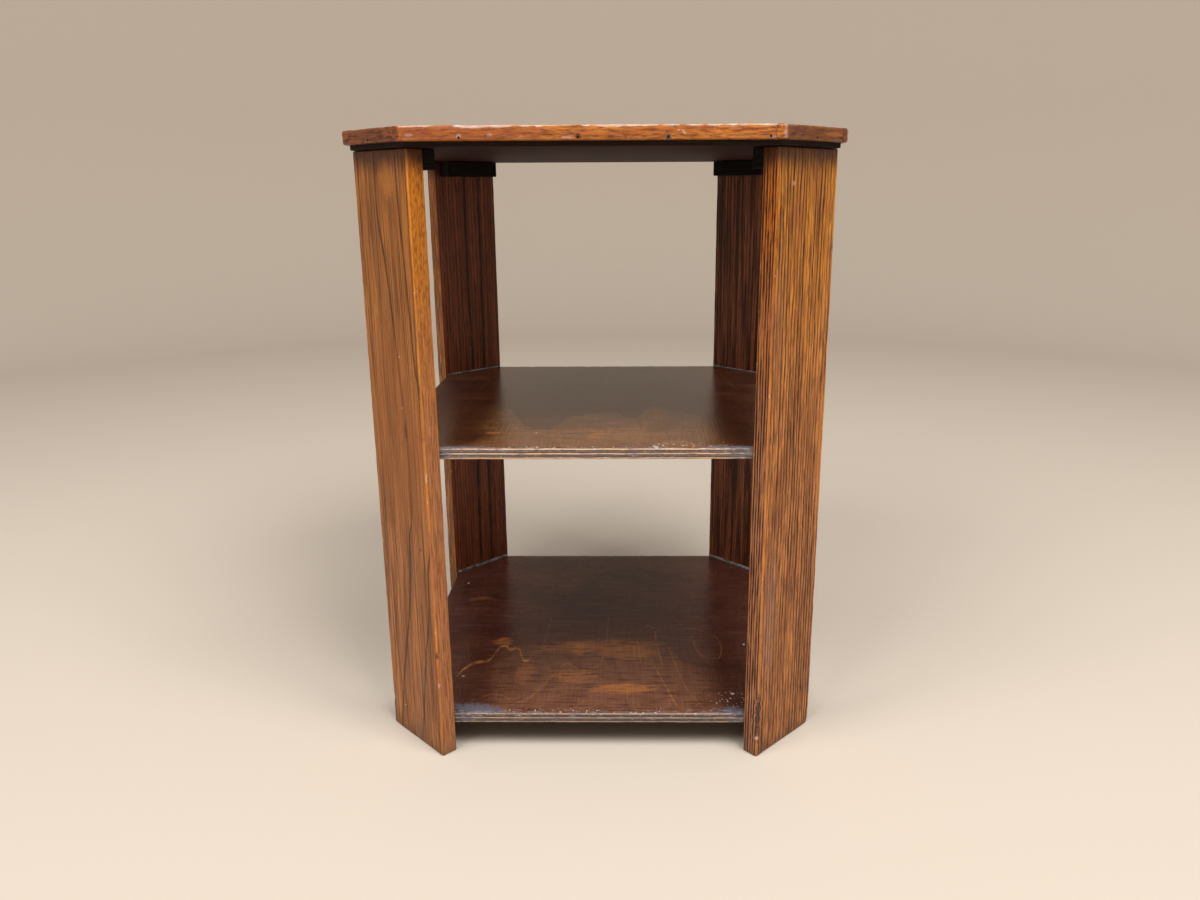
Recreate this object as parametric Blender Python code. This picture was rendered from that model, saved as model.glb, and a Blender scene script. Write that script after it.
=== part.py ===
"""Oak book table: a square top with cut corners on four board legs, with two open plywood shelves.

Metres, +Z up. The origin is on the floor under the middle of the top, and the front faces -Y.
"""

import math

import bmesh
import bpy
from mathutils import Vector

# Overall sizes and the top
HEIGHT = 0.610
TOP_WIDTH = 0.461
CORNER_CUT = 0.067
PANEL_THICKNESS = 0.0172
LIPPING_HEIGHT = 0.0127
LIPPING_THICKNESS = 0.006

# Legs: boards that stand across the corners, set back under the top
LEG_WIDTH = 0.091
LEG_THICKNESS = 0.0175
LEG_SETBACK = 0.008

# Shelves: their sides lie a little behind the inner arrises of the legs
SHELF_THICKNESS = 0.011
SHELF_SETBACK = 0.0027
BOTTOM_SHELF_RISE = 0.030
LOWER_BAY_HEIGHT = 0.270

# Cleats in the angle between the legs and the underside of the top
CLEAT_LENGTH = 0.075
CLEAT_DEPTH = 0.017
CLEAT_HEIGHT = 0.018

# Dowels between the shelves and the legs
DOWEL_DIAMETER = 0.006
DOWEL_SPACING = 0.044
DOWEL_IN_SHELF = 0.014
DOWEL_END_CHAMFER = 0.0006

# Countersunk wood screws with a slotted head
SCREW_DIAMETER = 0.0042
SCREW_HEAD_DIAMETER = 0.0082
SCREW_POINT_LENGTH = 0.006
SCREW_POINT_DIAMETER = 0.0008
SCREW_SLOT_WIDTH = 0.0011
SCREW_SLOT_DEPTH = 0.0010
LEG_SCREW_END_MARGIN = 0.010
TOP_SCREW_SPACING = 0.022

# Wood left between the end of a hidden dowel or screw and the show face beyond it
SHOW_FACE_COVER = 0.0055

# Softened arrises
LEG_ARRIS = 0.0018
LIPPING_ARRIS = 0.0018
PANEL_ARRIS = 0.0007
SHELF_ARRIS = 0.0007
CLEAT_ARRIS = 0.0010
ARRIS_STEPS = 2

# Gap at a glued or resting joint, and play round a dowel or a screw in its hole
JOINT_GAP = 0.0003
HOLE_PLAY = 0.0003

# Facets round a dowel or a screw
DOWEL_FACETS = 12
SCREW_FACETS = 12

# The eight sides of the top, counterclockwise from above, starting at the front
SIDES = ("front", "front_right", "right", "back_right", "back", "back_left", "left", "front_left")
CORNERS = SIDES[1::2]
FRONT_ANGLE = math.radians(-90)
SIDE_TURN = math.radians(45)
QUARTER_TURN = math.radians(90)
UP = Vector((0, 0, 1))
PAIR = {"a": -0.5, "b": 0.5}

# Levels above the floor
panel_underside = HEIGHT - PANEL_THICKNESS
under_top = panel_underside - JOINT_GAP
cleat_bottom = under_top - CLEAT_HEIGHT
middle_shelf_rise = BOTTOM_SHELF_RISE + SHELF_THICKNESS + LOWER_BAY_HEIGHT
shelf_rises = {"bottom_shelf": BOTTOM_SHELF_RISE, "middle_shelf": middle_shelf_rise}

# Distances from the upright axis of the table, square to a side or to a corner
side_distance = TOP_WIDTH / 2
corner_distance = (TOP_WIDTH - CORNER_CUT) / math.sqrt(2)
leg_outer_distance = corner_distance - LEG_SETBACK
leg_inner_distance = leg_outer_distance - LEG_THICKNESS
leg_inner_arris = (leg_inner_distance + LEG_WIDTH / 2) / math.sqrt(2)
shelf_side_distance = leg_inner_arris - SHELF_SETBACK
against_leg_distance = leg_inner_distance - JOINT_GAP
cleat_inner_distance = against_leg_distance - CLEAT_DEPTH

# Reach of the fasteners, from what they pass through and the wood left beyond them
dowel_start = against_leg_distance - DOWEL_IN_SHELF
dowel_end = leg_outer_distance - SHOW_FACE_COVER
dowel_length = dowel_end - dowel_start
leg_screw_length = leg_outer_distance - SHOW_FACE_COVER - cleat_inner_distance
leg_screw_spacing = CLEAT_LENGTH - 2 * LEG_SCREW_END_MARGIN
top_screw_length = HEIGHT - SHOW_FACE_COVER - cleat_bottom


def clear_scene():
    for thing in list(bpy.data.objects):
        bpy.data.objects.remove(thing, do_unlink=True)


def finish(name, colour, roughness, metallic=0.0):
    """A plain material. The colour is in linear light."""
    material = bpy.data.materials.new(name)
    material.use_nodes = True
    shader = material.node_tree.nodes["Principled BSDF"]
    shader.inputs["Base Color"].default_value = (*colour, 1.0)
    shader.inputs["Roughness"].default_value = roughness
    shader.inputs["Metallic"].default_value = metallic
    return material


def add_piece(name, mesh, material):
    piece = bpy.data.objects.new(name, mesh)
    bpy.context.scene.collection.objects.link(piece)
    piece.parent = table
    if not mesh.materials:
        mesh.materials.append(material)
    return piece


def add_cutter(name, mesh):
    cutter = bpy.data.objects.new(name, mesh)
    bpy.context.scene.collection.objects.link(cutter)
    cutter.parent = table
    cutter.hide_render = True
    cutter.display_type = "WIRE"
    return cutter


def aim(thing, position, direction):
    """Puts the origin of an object at a point, with its own Z along a direction."""
    thing.location = position
    thing.rotation_euler = direction.to_track_quat("Z", "Y").to_euler()


def cut(piece, cutter):
    boolean = piece.modifiers.new("cut by " + cutter.name, "BOOLEAN")
    boolean.operation = "DIFFERENCE"
    boolean.solver = "EXACT"
    boolean.object = cutter


def outward(angle):
    return Vector((math.cos(angle), math.sin(angle), 0))


def side_angle(side):
    """The direction that a side or a corner of the top faces."""
    return FRONT_ANGLE + SIDE_TURN * SIDES.index(side)


def meet(angle_1, distance_1, angle_2, distance_2):
    """Where two lines meet. Each is given by the direction it faces and its distance from the axis."""
    turn = math.sin(angle_2 - angle_1)
    x = (distance_1 * math.sin(angle_2) - distance_2 * math.sin(angle_1)) / turn
    y = (distance_2 * math.cos(angle_1) - distance_1 * math.cos(angle_2)) / turn
    return x, y


def octagon(to_side, to_corner):
    """A square with cut corners, counterclockwise."""
    outline = []
    for side in SIDES:
        angle = side_angle(side)
        here, before = (to_corner, to_side) if side in CORNERS else (to_side, to_corner)
        outline.append(meet(angle - SIDE_TURN, before, angle, here))
    return outline


def rectangle(length, depth):
    x = length / 2
    y = depth / 2
    return [(-x, -y), (x, -y), (x, y), (-x, y)]


def extruded(outline, bottom, top):
    shape = bmesh.new()
    base = shape.faces.new([shape.verts.new((x, y, bottom)) for x, y in outline])
    lifted = bmesh.ops.extrude_face_region(shape, geom=[base])["geom"]
    points = [item for item in lifted if isinstance(item, bmesh.types.BMVert)]
    bmesh.ops.translate(shape, verts=points, vec=UP * (top - bottom))
    bmesh.ops.recalc_face_normals(shape, faces=shape.faces)
    return shape


def soften(shape, edges, radius):
    bmesh.ops.bevel(
        shape, geom=edges, offset=radius, segments=ARRIS_STEPS, profile=0.5, affect="EDGES"
    )


def to_mesh(name, shape):
    mesh = bpy.data.meshes.new(name)
    shape.to_mesh(mesh)
    shape.free()
    return mesh


def board(name, outline, thickness, arris):
    """A flat board with its underside at zero and every arris softened."""
    shape = extruded(outline, 0, thickness)
    soften(shape, shape.edges[:], arris)
    return to_mesh(name, shape)


def turned(name, profile, facets):
    """A solid of revolution about Z. The profile is radius and height, from pole to pole."""
    shape = bmesh.new()
    points = [shape.verts.new((radius, 0, height)) for radius, height in profile]
    edges = [shape.edges.new(ends) for ends in zip(points, points[1:])]
    bmesh.ops.spin(
        shape, geom=points + edges, cent=(0, 0, 0), axis=UP, angle=math.tau, steps=facets
    )
    bmesh.ops.remove_doubles(shape, verts=shape.verts, dist=0.00001)
    bmesh.ops.recalc_face_normals(shape, faces=shape.faces)
    mesh = to_mesh(name, shape)
    mesh.shade_smooth()
    mesh.set_sharp_from_angle(angle=math.radians(40))
    return mesh


def dowel_profile(play):
    """A dowel about its middle, or with play the hole that it sits in."""
    radius = DOWEL_DIAMETER / 2 + play
    end = dowel_length / 2 + play
    tip = radius - DOWEL_END_CHAMFER
    shoulder = end - DOWEL_END_CHAMFER
    return [(0, -end), (tip, -end), (radius, -shoulder), (radius, shoulder), (tip, end), (0, end)]


def screw_profile(length, play):
    """A screw from its point up to the face of its head, which lies at zero height."""
    head = SCREW_HEAD_DIAMETER / 2 + play
    shank = SCREW_DIAMETER / 2 + play
    point = SCREW_POINT_DIAMETER / 2 + play
    under_head = (SCREW_DIAMETER - SCREW_HEAD_DIAMETER) / 2
    tip = -length - play
    return [(0, tip), (point, tip), (shank, SCREW_POINT_LENGTH - length), (shank, under_head), (head, 0)]


def screw_mesh(name, length):
    """A turned screw with a slot cut across its head."""
    profile = screw_profile(length, 0) + [(0, 0)]
    blank = add_cutter(name + "_blank", turned(name, profile, SCREW_FACETS))
    slot = extruded(
        rectangle(2 * SCREW_HEAD_DIAMETER, SCREW_SLOT_WIDTH), -SCREW_SLOT_DEPTH, SCREW_SLOT_DEPTH
    )
    slot_cutter = add_cutter(name + "_slot", to_mesh(name + "_slot", slot))
    cut(blank, slot_cutter)
    graph = bpy.context.evaluated_depsgraph_get()
    mesh = bpy.data.meshes.new_from_object(blank.evaluated_get(graph))
    bpy.data.objects.remove(blank)
    bpy.data.objects.remove(slot_cutter)
    return mesh


def screw_hole_mesh(name, length):
    """The countersunk hole of a screw, open above the head."""
    profile = screw_profile(length, HOLE_PLAY)
    head = profile[-1][0]
    above = SCREW_HEAD_DIAMETER / 2
    return turned(name, profile + [(head, above), (0, above)], SCREW_FACETS)


def build_panel():
    outline = octagon(side_distance - LIPPING_THICKNESS, corner_distance - LIPPING_THICKNESS)
    shape = extruded(outline, panel_underside, HEIGHT)
    level = (panel_underside + HEIGHT) / 2
    lower = [edge for edge in shape.edges if all(vert.co.z < level for vert in edge.verts)]
    soften(shape, lower, PANEL_ARRIS)
    return add_piece("top_panel", to_mesh("top_panel", shape), panel_finish)


def build_shelf(name, rise):
    outline = octagon(shelf_side_distance, against_leg_distance)
    shelf = add_piece(name, board(name, outline, SHELF_THICKNESS, SHELF_ARRIS), shelf_finish)
    shelf.location.z = rise
    return shelf


def build_lipping(side):
    """One strip. It laps over the end of the strip before it and stops behind the strip after it."""
    angle = side_angle(side)
    outer, beside = side_distance, corner_distance
    if side in CORNERS:
        outer, beside = beside, outer
    inner = outer - LIPPING_THICKNESS + JOINT_GAP
    lap_face = (angle - SIDE_TURN, beside)
    stop_face = (angle + SIDE_TURN, beside - LIPPING_THICKNESS)
    plan = {
        "lap": meet(*lap_face, angle, inner),
        "arris": meet(*lap_face, angle, outer),
        "stop": meet(angle, outer, *stop_face),
        "heel": meet(angle, inner, *stop_face),
    }
    shape = extruded(plan.values(), HEIGHT - LIPPING_HEIGHT, HEIGHT)
    shown = ({"lap", "arris"}, {"arris", "stop"}, {"arris"})
    soften(shape, [edge for edge in shape.edges if ends_of(edge, plan) in shown], LIPPING_ARRIS)
    name = "lipping_" + side
    add_piece(name, to_mesh(name, shape), lipping_finish)


def ends_of(edge, plan):
    """The names of the points of a plan that the ends of an edge stand on."""
    return {
        min(plan, key=lambda name: (vert.co.xy - Vector(plan[name])).length) for vert in edge.verts
    }


def build_corner(corner):
    """A leg and its cleat, with the dowels into the shelves and the screws into the leg and the top."""
    angle = side_angle(corner)
    out = outward(angle)
    along = outward(angle - QUARTER_TURN)

    def stand(name, mesh, material, near, far, rise):
        piece = add_piece(name, mesh, material)
        piece.location = out * (near + far) / 2 + UP * rise
        piece.rotation_euler.z = angle - QUARTER_TURN
        return piece

    outline = rectangle(LEG_WIDTH, LEG_THICKNESS)
    mesh = board("leg_" + corner, outline, under_top, LEG_ARRIS)
    leg = stand("leg_" + corner, mesh, leg_finish, leg_inner_distance, leg_outer_distance, 0)

    outline = rectangle(CLEAT_LENGTH, CLEAT_DEPTH)
    mesh = board("cleat_" + corner, outline, CLEAT_HEIGHT, CLEAT_ARRIS)
    cleat = stand(
        "cleat_" + corner, mesh, cleat_finish, cleat_inner_distance, against_leg_distance, cleat_bottom
    )

    def fasten(name, meshes, material, position, direction, held):
        """Puts in one dowel or screw and cuts its hole in the two pieces that it holds together."""
        solid, hole = meshes
        aim(add_piece(name, solid, material), position, direction)
        cutter = add_cutter(name + "_hole", hole)
        aim(cutter, position, direction)
        for piece in held:
            cut(piece, cutter)

    for letter, side in PAIR.items():
        for shelf_name, rise in shelf_rises.items():
            position = out * (dowel_start + dowel_end) / 2 + along * side * DOWEL_SPACING
            position += UP * (rise + SHELF_THICKNESS / 2)
            name = f"{shelf_name}_dowel_{corner}_{letter}"
            fasten(name, dowel_meshes, dowel_finish, position, out, (leg, shelves[shelf_name]))

        position = out * cleat_inner_distance + along * side * leg_screw_spacing
        position += UP * (cleat_bottom + CLEAT_HEIGHT / 2)
        name = f"leg_screw_{corner}_{letter}"
        fasten(name, leg_screw_meshes, screw_finish, position, -out, (cleat, leg))

        position = out * (cleat_inner_distance + CLEAT_DEPTH / 2) + along * side * TOP_SCREW_SPACING
        position += UP * cleat_bottom
        name = f"top_screw_{corner}_{letter}"
        fasten(name, top_screw_meshes, screw_finish, position, -UP, (cleat, panel))


clear_scene()
table = bpy.data.objects.new("book_table", None)
bpy.context.scene.collection.objects.link(table)

leg_finish = finish("honey oak", (0.205, 0.085, 0.026), 0.38)
lipping_finish = finish("orange oak", (0.330, 0.135, 0.045), 0.36)
panel_finish = finish("oak faced plywood", (0.185, 0.080, 0.028), 0.40)
shelf_finish = finish("dark stained plywood", (0.036, 0.017, 0.011), 0.32)
cleat_finish = finish("black stained softwood", (0.010, 0.008, 0.007), 0.60)
dowel_finish = finish("beech", (0.420, 0.270, 0.140), 0.60)
screw_finish = finish("old steel", (0.300, 0.280, 0.250), 0.45, metallic=1.0)

dowel_meshes = (
    turned("dowel", dowel_profile(0), DOWEL_FACETS),
    turned("dowel_hole", dowel_profile(HOLE_PLAY), DOWEL_FACETS),
)
leg_screw_meshes = (
    screw_mesh("leg_screw", leg_screw_length),
    screw_hole_mesh("leg_screw_hole", leg_screw_length),
)
top_screw_meshes = (
    screw_mesh("top_screw", top_screw_length),
    screw_hole_mesh("top_screw_hole", top_screw_length),
)

panel = build_panel()
shelves = {name: build_shelf(name, rise) for name, rise in shelf_rises.items()}
for side in SIDES:
    build_lipping(side)
for corner in CORNERS:
    build_corner(corner)
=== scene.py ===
"""The finished look of an oak book table: worn oak legs and lipping, and dark stained plywood shelves.

Metres, +Z up, in the frame's own place. The front faces -Y. Colours are in linear light.
"""

import math

import bmesh
import bpy
from mathutils import Matrix, Vector


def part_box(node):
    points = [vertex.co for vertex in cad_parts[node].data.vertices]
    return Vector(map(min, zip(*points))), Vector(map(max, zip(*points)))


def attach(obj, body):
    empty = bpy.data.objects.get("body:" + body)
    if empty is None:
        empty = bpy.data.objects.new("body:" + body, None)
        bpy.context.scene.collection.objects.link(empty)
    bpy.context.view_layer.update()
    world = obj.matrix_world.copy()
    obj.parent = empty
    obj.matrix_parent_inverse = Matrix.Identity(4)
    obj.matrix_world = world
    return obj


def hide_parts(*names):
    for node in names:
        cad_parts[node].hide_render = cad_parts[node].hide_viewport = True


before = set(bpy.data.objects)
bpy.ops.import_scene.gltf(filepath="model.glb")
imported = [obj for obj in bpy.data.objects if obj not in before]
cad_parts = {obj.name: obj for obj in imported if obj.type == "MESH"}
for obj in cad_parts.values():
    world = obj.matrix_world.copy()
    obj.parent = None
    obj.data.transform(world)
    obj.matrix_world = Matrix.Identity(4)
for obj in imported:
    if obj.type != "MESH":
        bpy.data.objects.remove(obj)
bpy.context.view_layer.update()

# The eight sides of the top, counterclockwise from above. Each piece is drawn as if at the front.
SIDES = ("front", "front_right", "right", "back_right", "back", "back_left", "left", "front_left")
CORNERS = SIDES[1::2]
SIDE_TURN = math.radians(45)
FRONT = Vector((0, -1, 0))
ACROSS = Vector((1, 0, 0))
UP = Vector((0, 0, 1))

# A length that counts as none, one that counts as no limit, how nearly a direction is followed, and the
# sharpest bend that is shaded smooth
TOUCHING = 0.00002
FAR = 1000
STRAIGHT = 0.999
FACING = 0.8
UPRIGHT = 0.1
SMOOTH_ANGLE = math.radians(38)

# Rounded arrises, and how finely the pieces are divided for their wear
LEG_ARRIS = 0.0018
LEG_ARRIS_STEPS = 4
LEG_ROW = 0.0035
LEG_COLUMN = 0.011
LIPPING_ARRIS = 0.0016
LIPPING_ROW = 0.0022
LIPPING_TALL_EDGE = 0.006
LIPPING_TALL_ROW = 0.0032
SHELF_ARRIS = 0.0007
SHELF_ROW = 0.004
PANEL_ARRIS = 0.0007
PANEL_ARRIS_STEPS = 2
ARRIS_STEPS = 3
PLIES = 5
PLY_RELIEF = 0.00016

# Wear of the arrises: its depth and the size of its patches. It is broken by the detail, and where its noise
# is at the level the surface stays in place.
LEG_WEAR = (0.0008, 0.02)
LIPPING_WEAR = (0.0009, 0.009)
SHELF_WEAR = (0.0007, 0.007)
WEAR_DETAIL = 3
WEAR_LEVEL = 0.3

# Panel pins in the lipping: places along a strip from its middle, and the height above its lower edge
PINS = {SIDES[0::2]: (-0.112, -0.0115, 0.0645, 0.1505), CORNERS: (-0.002,)}
PIN_LETTERS = "abcd"
PIN_RISE = 0.0026
PIN_RADIUS = 0.0008
PIN_FACETS = 12
PIN_DOME_INSET = PIN_RADIUS / 3
PIN_DOME_RISE = PIN_RADIUS / 6
PIN_HOLE_RADIUS = 0.0011
PIN_HOLE_FACETS = 16
PIN_HOLE_DEPTH = 0.0014
PIN_SUNK = 0.0007

# Old glue in the joints between the shelves and the legs: how far it stands out from a leg, and its height.
# Its rounding and wear are shares of that height.
GLUE = {"middle_shelf": (0.0016, 0.0013), "bottom_shelf": (0.0030, 0.0024)}
GLUE_ROW = 0.0025
GLUE_ROUNDING = 0.7
GLUE_STEPS = 4
GLUE_WEAR = 0.6
GLUE_PATCH = 0.008

# The view: where the lens is, the way it looks, and its focal length in pixels of the photograph
LENS_PLACE = Vector((0.03109, -1.03449, 0.55541))
LENS_YAW = -0.01133
LENS_PITCH = -0.26030
LENS_ROLL = -0.00475
FOCAL_PIXELS = 911.9
LENS_SHIFT = (-19.2, -15.6)
PHOTO_WIDTH = 1200
SENSOR_WIDTH = 36.0

# The floor, which curves up into a low wall, and the light
FLOOR_RADIUS = 2.6
FLOOR_FACETS = 96
COVE_RADIUS = 0.9
COVE_STEPS = 10
WALL_HEIGHT = 1.2
FLOOR_COLOUR = (0.61, 0.53, 0.445)
FLOOR_ROUGHNESS = 0.9
FLOOR_SHEEN = 0.1
SKY_COLOUR = (1.0, 0.98, 0.95)
SKY_STRENGTH = 0.38
TABLE_MIDDLE = Vector((0, 0, 0.3))
LAMP_SIZE = 1.5
KEY_PLACE = (1.1, -1.35, 2.75)
KEY_WATTS = 82
FILL_PLACE = (-1.3, -1.35, 2.5)
FILL_WATTS = 50

# Sheen and depth of relief of the finishes
PLAIN_SHEEN = 0.5
LEG_SHEEN = 0.22
LIPPING_SHEEN = 0.3
UNDERSIDE_SHEEN = 0.04
PANEL_EDGE_SHEEN = 0.15
CLEAT_SHEEN = 0.12
STEEL_SHEEN = 0.2
COARSE_RELIEF = 0.0006
GRAIN_RELIEF = 0.0005
STAIN_RELIEF = 0.0004
FINE_RELIEF = 0.0002

# Colours of wear and dirt, with painted shade under the top and a painted highlight on the lipping's worn
# upper arris
PALE_CHIP = (0.62, 0.50, 0.42)
PALE_NICK = (0.50, 0.360, 0.260)
PALE_SCAR = (0.55, 0.360, 0.270)
LIPPING_NICK = (0.46, 0.29, 0.23)
WHITE_SCRATCH = (0.56, 0.40, 0.34)
DARK_SCRATCH = (0.15, 0.032, 0.012)
BLACK_CRACK = (0.030, 0.012, 0.008)
DARK_SPOT = (0.05, 0.016, 0.009)
FLOOR_DIRT = (0.10, 0.065, 0.045)
# Painted shade: the dark band at the top of the legs, just under the top
TOP_PAINTED_SHADE = (0.036, 0.0110, 0.0060)
WORN_PALE = (0.55, 0.38, 0.31)
# A pale colour for the lipping's upper arris: wear with a painted highlight laid in
PALE_WEAR_AND_HIGHLIGHT = (0.72, 0.62, 0.58)
BRUISE = (0.46, 0.28, 0.23)
SCUFF = (0.21, 0.19, 0.205)
BLUE_SCUFF = (0.115, 0.112, 0.140)
DARK_SCUFF = (0.052, 0.050, 0.068)
SPECK = (0.62, 0.56, 0.52)

# Colours of the worn shelves, the plies, the top panel, the glue and the fittings
AMBER = (0.22, 0.092, 0.027)
RED_AMBER = (0.27, 0.095, 0.030)
ORANGE = (0.38, 0.130, 0.030)
SHELF_FIBRE = (0.3, 0.24, 0.2)
PLY_GLUE = (0.018, 0.008, 0.007)
PLY_BLOT = (0.075, 0.038, 0.034)
VENEER_PALE = (0.30, 0.125, 0.040)
VENEER_BROWN = (0.20, 0.078, 0.025)
VENEER_LINE = (0.085, 0.034, 0.014)
VENEER_PORE = (0.035, 0.016, 0.009)
VENEER_FIBRE = (0.16, 0.09, 0.05)
VENEER_RUBBED = (0.46, 0.25, 0.13)
UNDERSIDE_RED = (0.034, 0.0105, 0.0085)
UNDERSIDE_DARK = (0.021, 0.0062, 0.0052)
UNDERSIDE_STREAK = (0.055, 0.022, 0.016)
PANEL_EDGE_BLACK = (0.008, 0.0055, 0.005)
PANEL_EDGE_STREAK = (0.024, 0.014, 0.011)
GLUE_GREY = (0.20, 0.185, 0.185)
GLUE_DIRT = (0.060, 0.044, 0.038)
CLEAT_BLACK = (0.0035, 0.0028, 0.0024)
CLEAT_STREAK = (0.0095, 0.0068, 0.0056)
STEEL_GREY = (0.016, 0.015, 0.014)
STEEL_RUST = (0.010, 0.006, 0.005)
BEECH_PALE = (0.44, 0.285, 0.15)
BEECH_BROWN = (0.33, 0.19, 0.09)

# Looks of the legs. They are cut from two boards: one with close rings and open pores, and a plainer one,
# at the front left, with wide wandering lines. A line is a width, a share, and points of height and place
# across. A mark or a scar is a colour, a share, a middle, two half sizes and a turn in degrees.
LEG_LOOK = {
    "high face": (0.60, 0.226, 0.025),
    "low face": (0.57, 0.215, 0.057),
    "brown": (0.31, 0.099, 0.024),
    "fine": 0.60,
    "fine length": 0.022,
    "fine line": (0.13, 0.038, 0.010),
    "high end": (0.46, 0.134, 0.013),
    "low end": (0.45, 0.185, 0.080),
    "streak": (0.030, 0.008, 0.005),
    "fleck size": (0.0009, 0.0009, 0.014),
    "streaks": 0.6,
    "end ring": 0.0031,
    "end lines": 1.0,
    "dark": (0.020, 0.007, 0.004),
    "fibre": (0.45, 0.32, 0.22),
    # rubbed: the orange arris line, partly wear and partly a painted highlight
    "rubbed": (0.60, 0.20, 0.028),
    "rub share": 0.75,
    "rub fade": (0.47, 0.34),
    # The inner faces' colours are partly stain and partly painted shade, for the shadow under the top and
    # behind the other legs.
    "inside": (0.080, 0.026, 0.012),
    "inside pale": (0.340, 0.110, 0.048),
    "inside dark": (0.010, 0.0038, 0.0030),
    "inside rings": 1.0,
    "rings": 1.0,
    "ring": 0.0047,
    "line": 0.50,
    "lines": (),
    "slant": 0.9,
    "lean": 0.006,
    "drift": 0.006,
    "uneven": 0.007,
    "waver": 0.0012,
    "pores": 0.7,
    "marks": (),
    "scars": (),
}
LEG_CHANGES = {
    "back_left": {
        "high end": (0.37, 0.120, 0.021),
        "low end": (0.42, 0.165, 0.048),
        "inside": (0.175, 0.048, 0.019),
        "inside pale": (0.275, 0.077, 0.030),
        "inside rings": 0.70,
        "lines": (
            (0.0018, 0.70, ((0.20, 0.010), (0.34, 0.0105), (0.42, 0.013), (0.50, 0.0135))),
            (0.0042, 0.95, ((0, 0.003), (0.34, 0.001), (0.45, 0.003), (0.6, 0.0))),
            (0.0044, 0.90, ((0, -0.016), (0.34, -0.018), (0.5, -0.019), (0.6, -0.021))),
        ),
    },
    "back_right": {"inside rings": 0.75},
    "front_right": {
        "marks": (
            ((0.27, 0.130, 0.085), 0.45, (-0.033, 0.15), (0.014, 0.09), 0),
            ((0.25, 0.105, 0.050), 0.30, (-0.036, 0.43), (0.012, 0.09), 0),
            ((0.52, 0.190, 0.030), 0.50, (0.040, 0.31), (0.006, 0.09), 0),
            ((0.45, 0.330, 0.240), 0.50, (-0.0225, 0.562), (0.003, 0.0025), 0),
            ((0.040, 0.016, 0.008), 0.90, (0.0285, 0.051), (0.0011, 0.013), 12),
        ),
        "scars": (
            ((0.050, 0.034, 0.040), 0.95, (-0.0450, 0.047), (0.0036, 0.031), 0),
            (PALE_CHIP, 0.90, (-0.0442, 0.0205), (0.0026, 0.0032), 0),
        ),
    },
    "front_left": {
        "high face": (0.38, 0.139, 0.029),
        "low face": (0.47, 0.183, 0.052),
        "brown": (0.26, 0.092, 0.028),
        "fine": 0.90,
        "fine length": 0.09,
        "fine line": (0.115, 0.038, 0.011),
        "high end": (0.50, 0.170, 0.012),
        "low end": (0.42, 0.170, 0.066),
        "streak": (0.150, 0.043, 0.010),
        "fleck size": (0.0012, 0.0012, 0.0060),
        "streaks": 0.65,
        "end lines": 0.25,
        "dark": (0.045, 0.017, 0.007),
        "rubbed": (0.62, 0.22, 0.022),
        "rub fade": (0.0, 0.1),
        "rings": 0.10,
        "line": 0.7,
        "lines": (
            (0.0026, 0.95, (
                (0.0, -0.031), (0.05, -0.022), (0.10, -0.0115), (0.15, 0.001), (0.20, 0.0072),
                (0.225, 0.009), (0.255, 0.0168), (0.30, 0.0175), (0.36, 0.0155), (0.40, 0.010),
                (0.45, 0.0048), (0.50, -0.0015), (0.55, -0.0088), (0.60, -0.006),
            )),
            (0.0024, 0.9, (
                (0.0, 0.0085), (0.05, 0.0175), (0.10, 0.0255), (0.15, 0.035), (0.20, 0.0395), (0.24, 0.047),
                (0.36, 0.047), (0.40, 0.039), (0.50, 0.0322), (0.55, 0.028), (0.60, 0.0265),
            )),
            (0.0024, 0.5, (
                (0.0, -0.046), (0.05, -0.038), (0.10, -0.0315), (0.15, -0.023), (0.20, -0.0182),
                (0.32, -0.0133), (0.38, -0.0158), (0.50, -0.0195), (0.55, -0.023), (0.60, -0.0222),
            )),
            (0.0024, 0.55, (
                (0.10, -0.0465), (0.13, -0.042), (0.20, -0.0345), (0.30, -0.0312), (0.45, -0.0333),
                (0.48, -0.0365), (0.55, -0.0375), (0.60, -0.037),
            )),
            (0.0022, 0.45, ((0.0, 0.034), (0.05, 0.039), (0.09, 0.0435), (0.14, 0.047))),
        ),
        "slant": 0.5,
        "lean": 0.0,
        "waver": 0.003,
        "pores": 0.2,
        "marks": (
            ((0.27, 0.088, 0.018), 0.50, (0.0, 0.33), (0.065, 0.13), 0),
            ((0.40, 0.150, 0.025), 0.60, (0.012, 0.568), (0.016, 0.022), 0),
            ((0.12, 0.068, 0.042), 0.55, (0.008, 0.195), (0.004, 0.020), 0),
            ((0.055, 0.028, 0.017), 0.60, (0.0158, 0.337), (0.003, 0.012), 0),
            ((0.16, 0.095, 0.062), 0.55, (0.018, 0.075), (0.0045, 0.022), 0),
            ((0.20, 0.120, 0.080), 0.50, (0.006, 0.010), (0.010, 0.020), -20),
            ((0.32, 0.085, 0.035), 0.45, (0.043, 0.10), (0.004, 0.035), 0),
            ((0.10, 0.030, 0.012), 0.80, (0.029, 0.2205), (0.0022, 0.0016), 0),
            (PALE_NICK, 0.60, (0.013, 0.408), (0.0018, 0.0012), 0),
            (PALE_NICK, 0.55, (0.012, 0.359), (0.0026, 0.0008), 20),
            (PALE_NICK, 0.55, (-0.021, 0.031), (0.0034, 0.0009), 20),
        ),
        "scars": (
            ((0.040, 0.014, 0.010), 0.55, (0.0425, 0.420), (0.0016, 0.080), 0),
            ((0.34, 0.105, 0.055), 0.60, (0.0446, 0.205), (0.0012, 0.070), 0),
            (PALE_SCAR, 0.60, (0.0449, 0.297), (0.0009, 0.0060), 0),
            (PALE_SCAR, 0.60, (0.0449, 0.080), (0.0009, 0.0040), 0),
            ((0.045, 0.030, 0.034), 0.80, (0.0450, 0.112), (0.0028, 0.0045), 0),
        ),
    },
}

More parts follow.
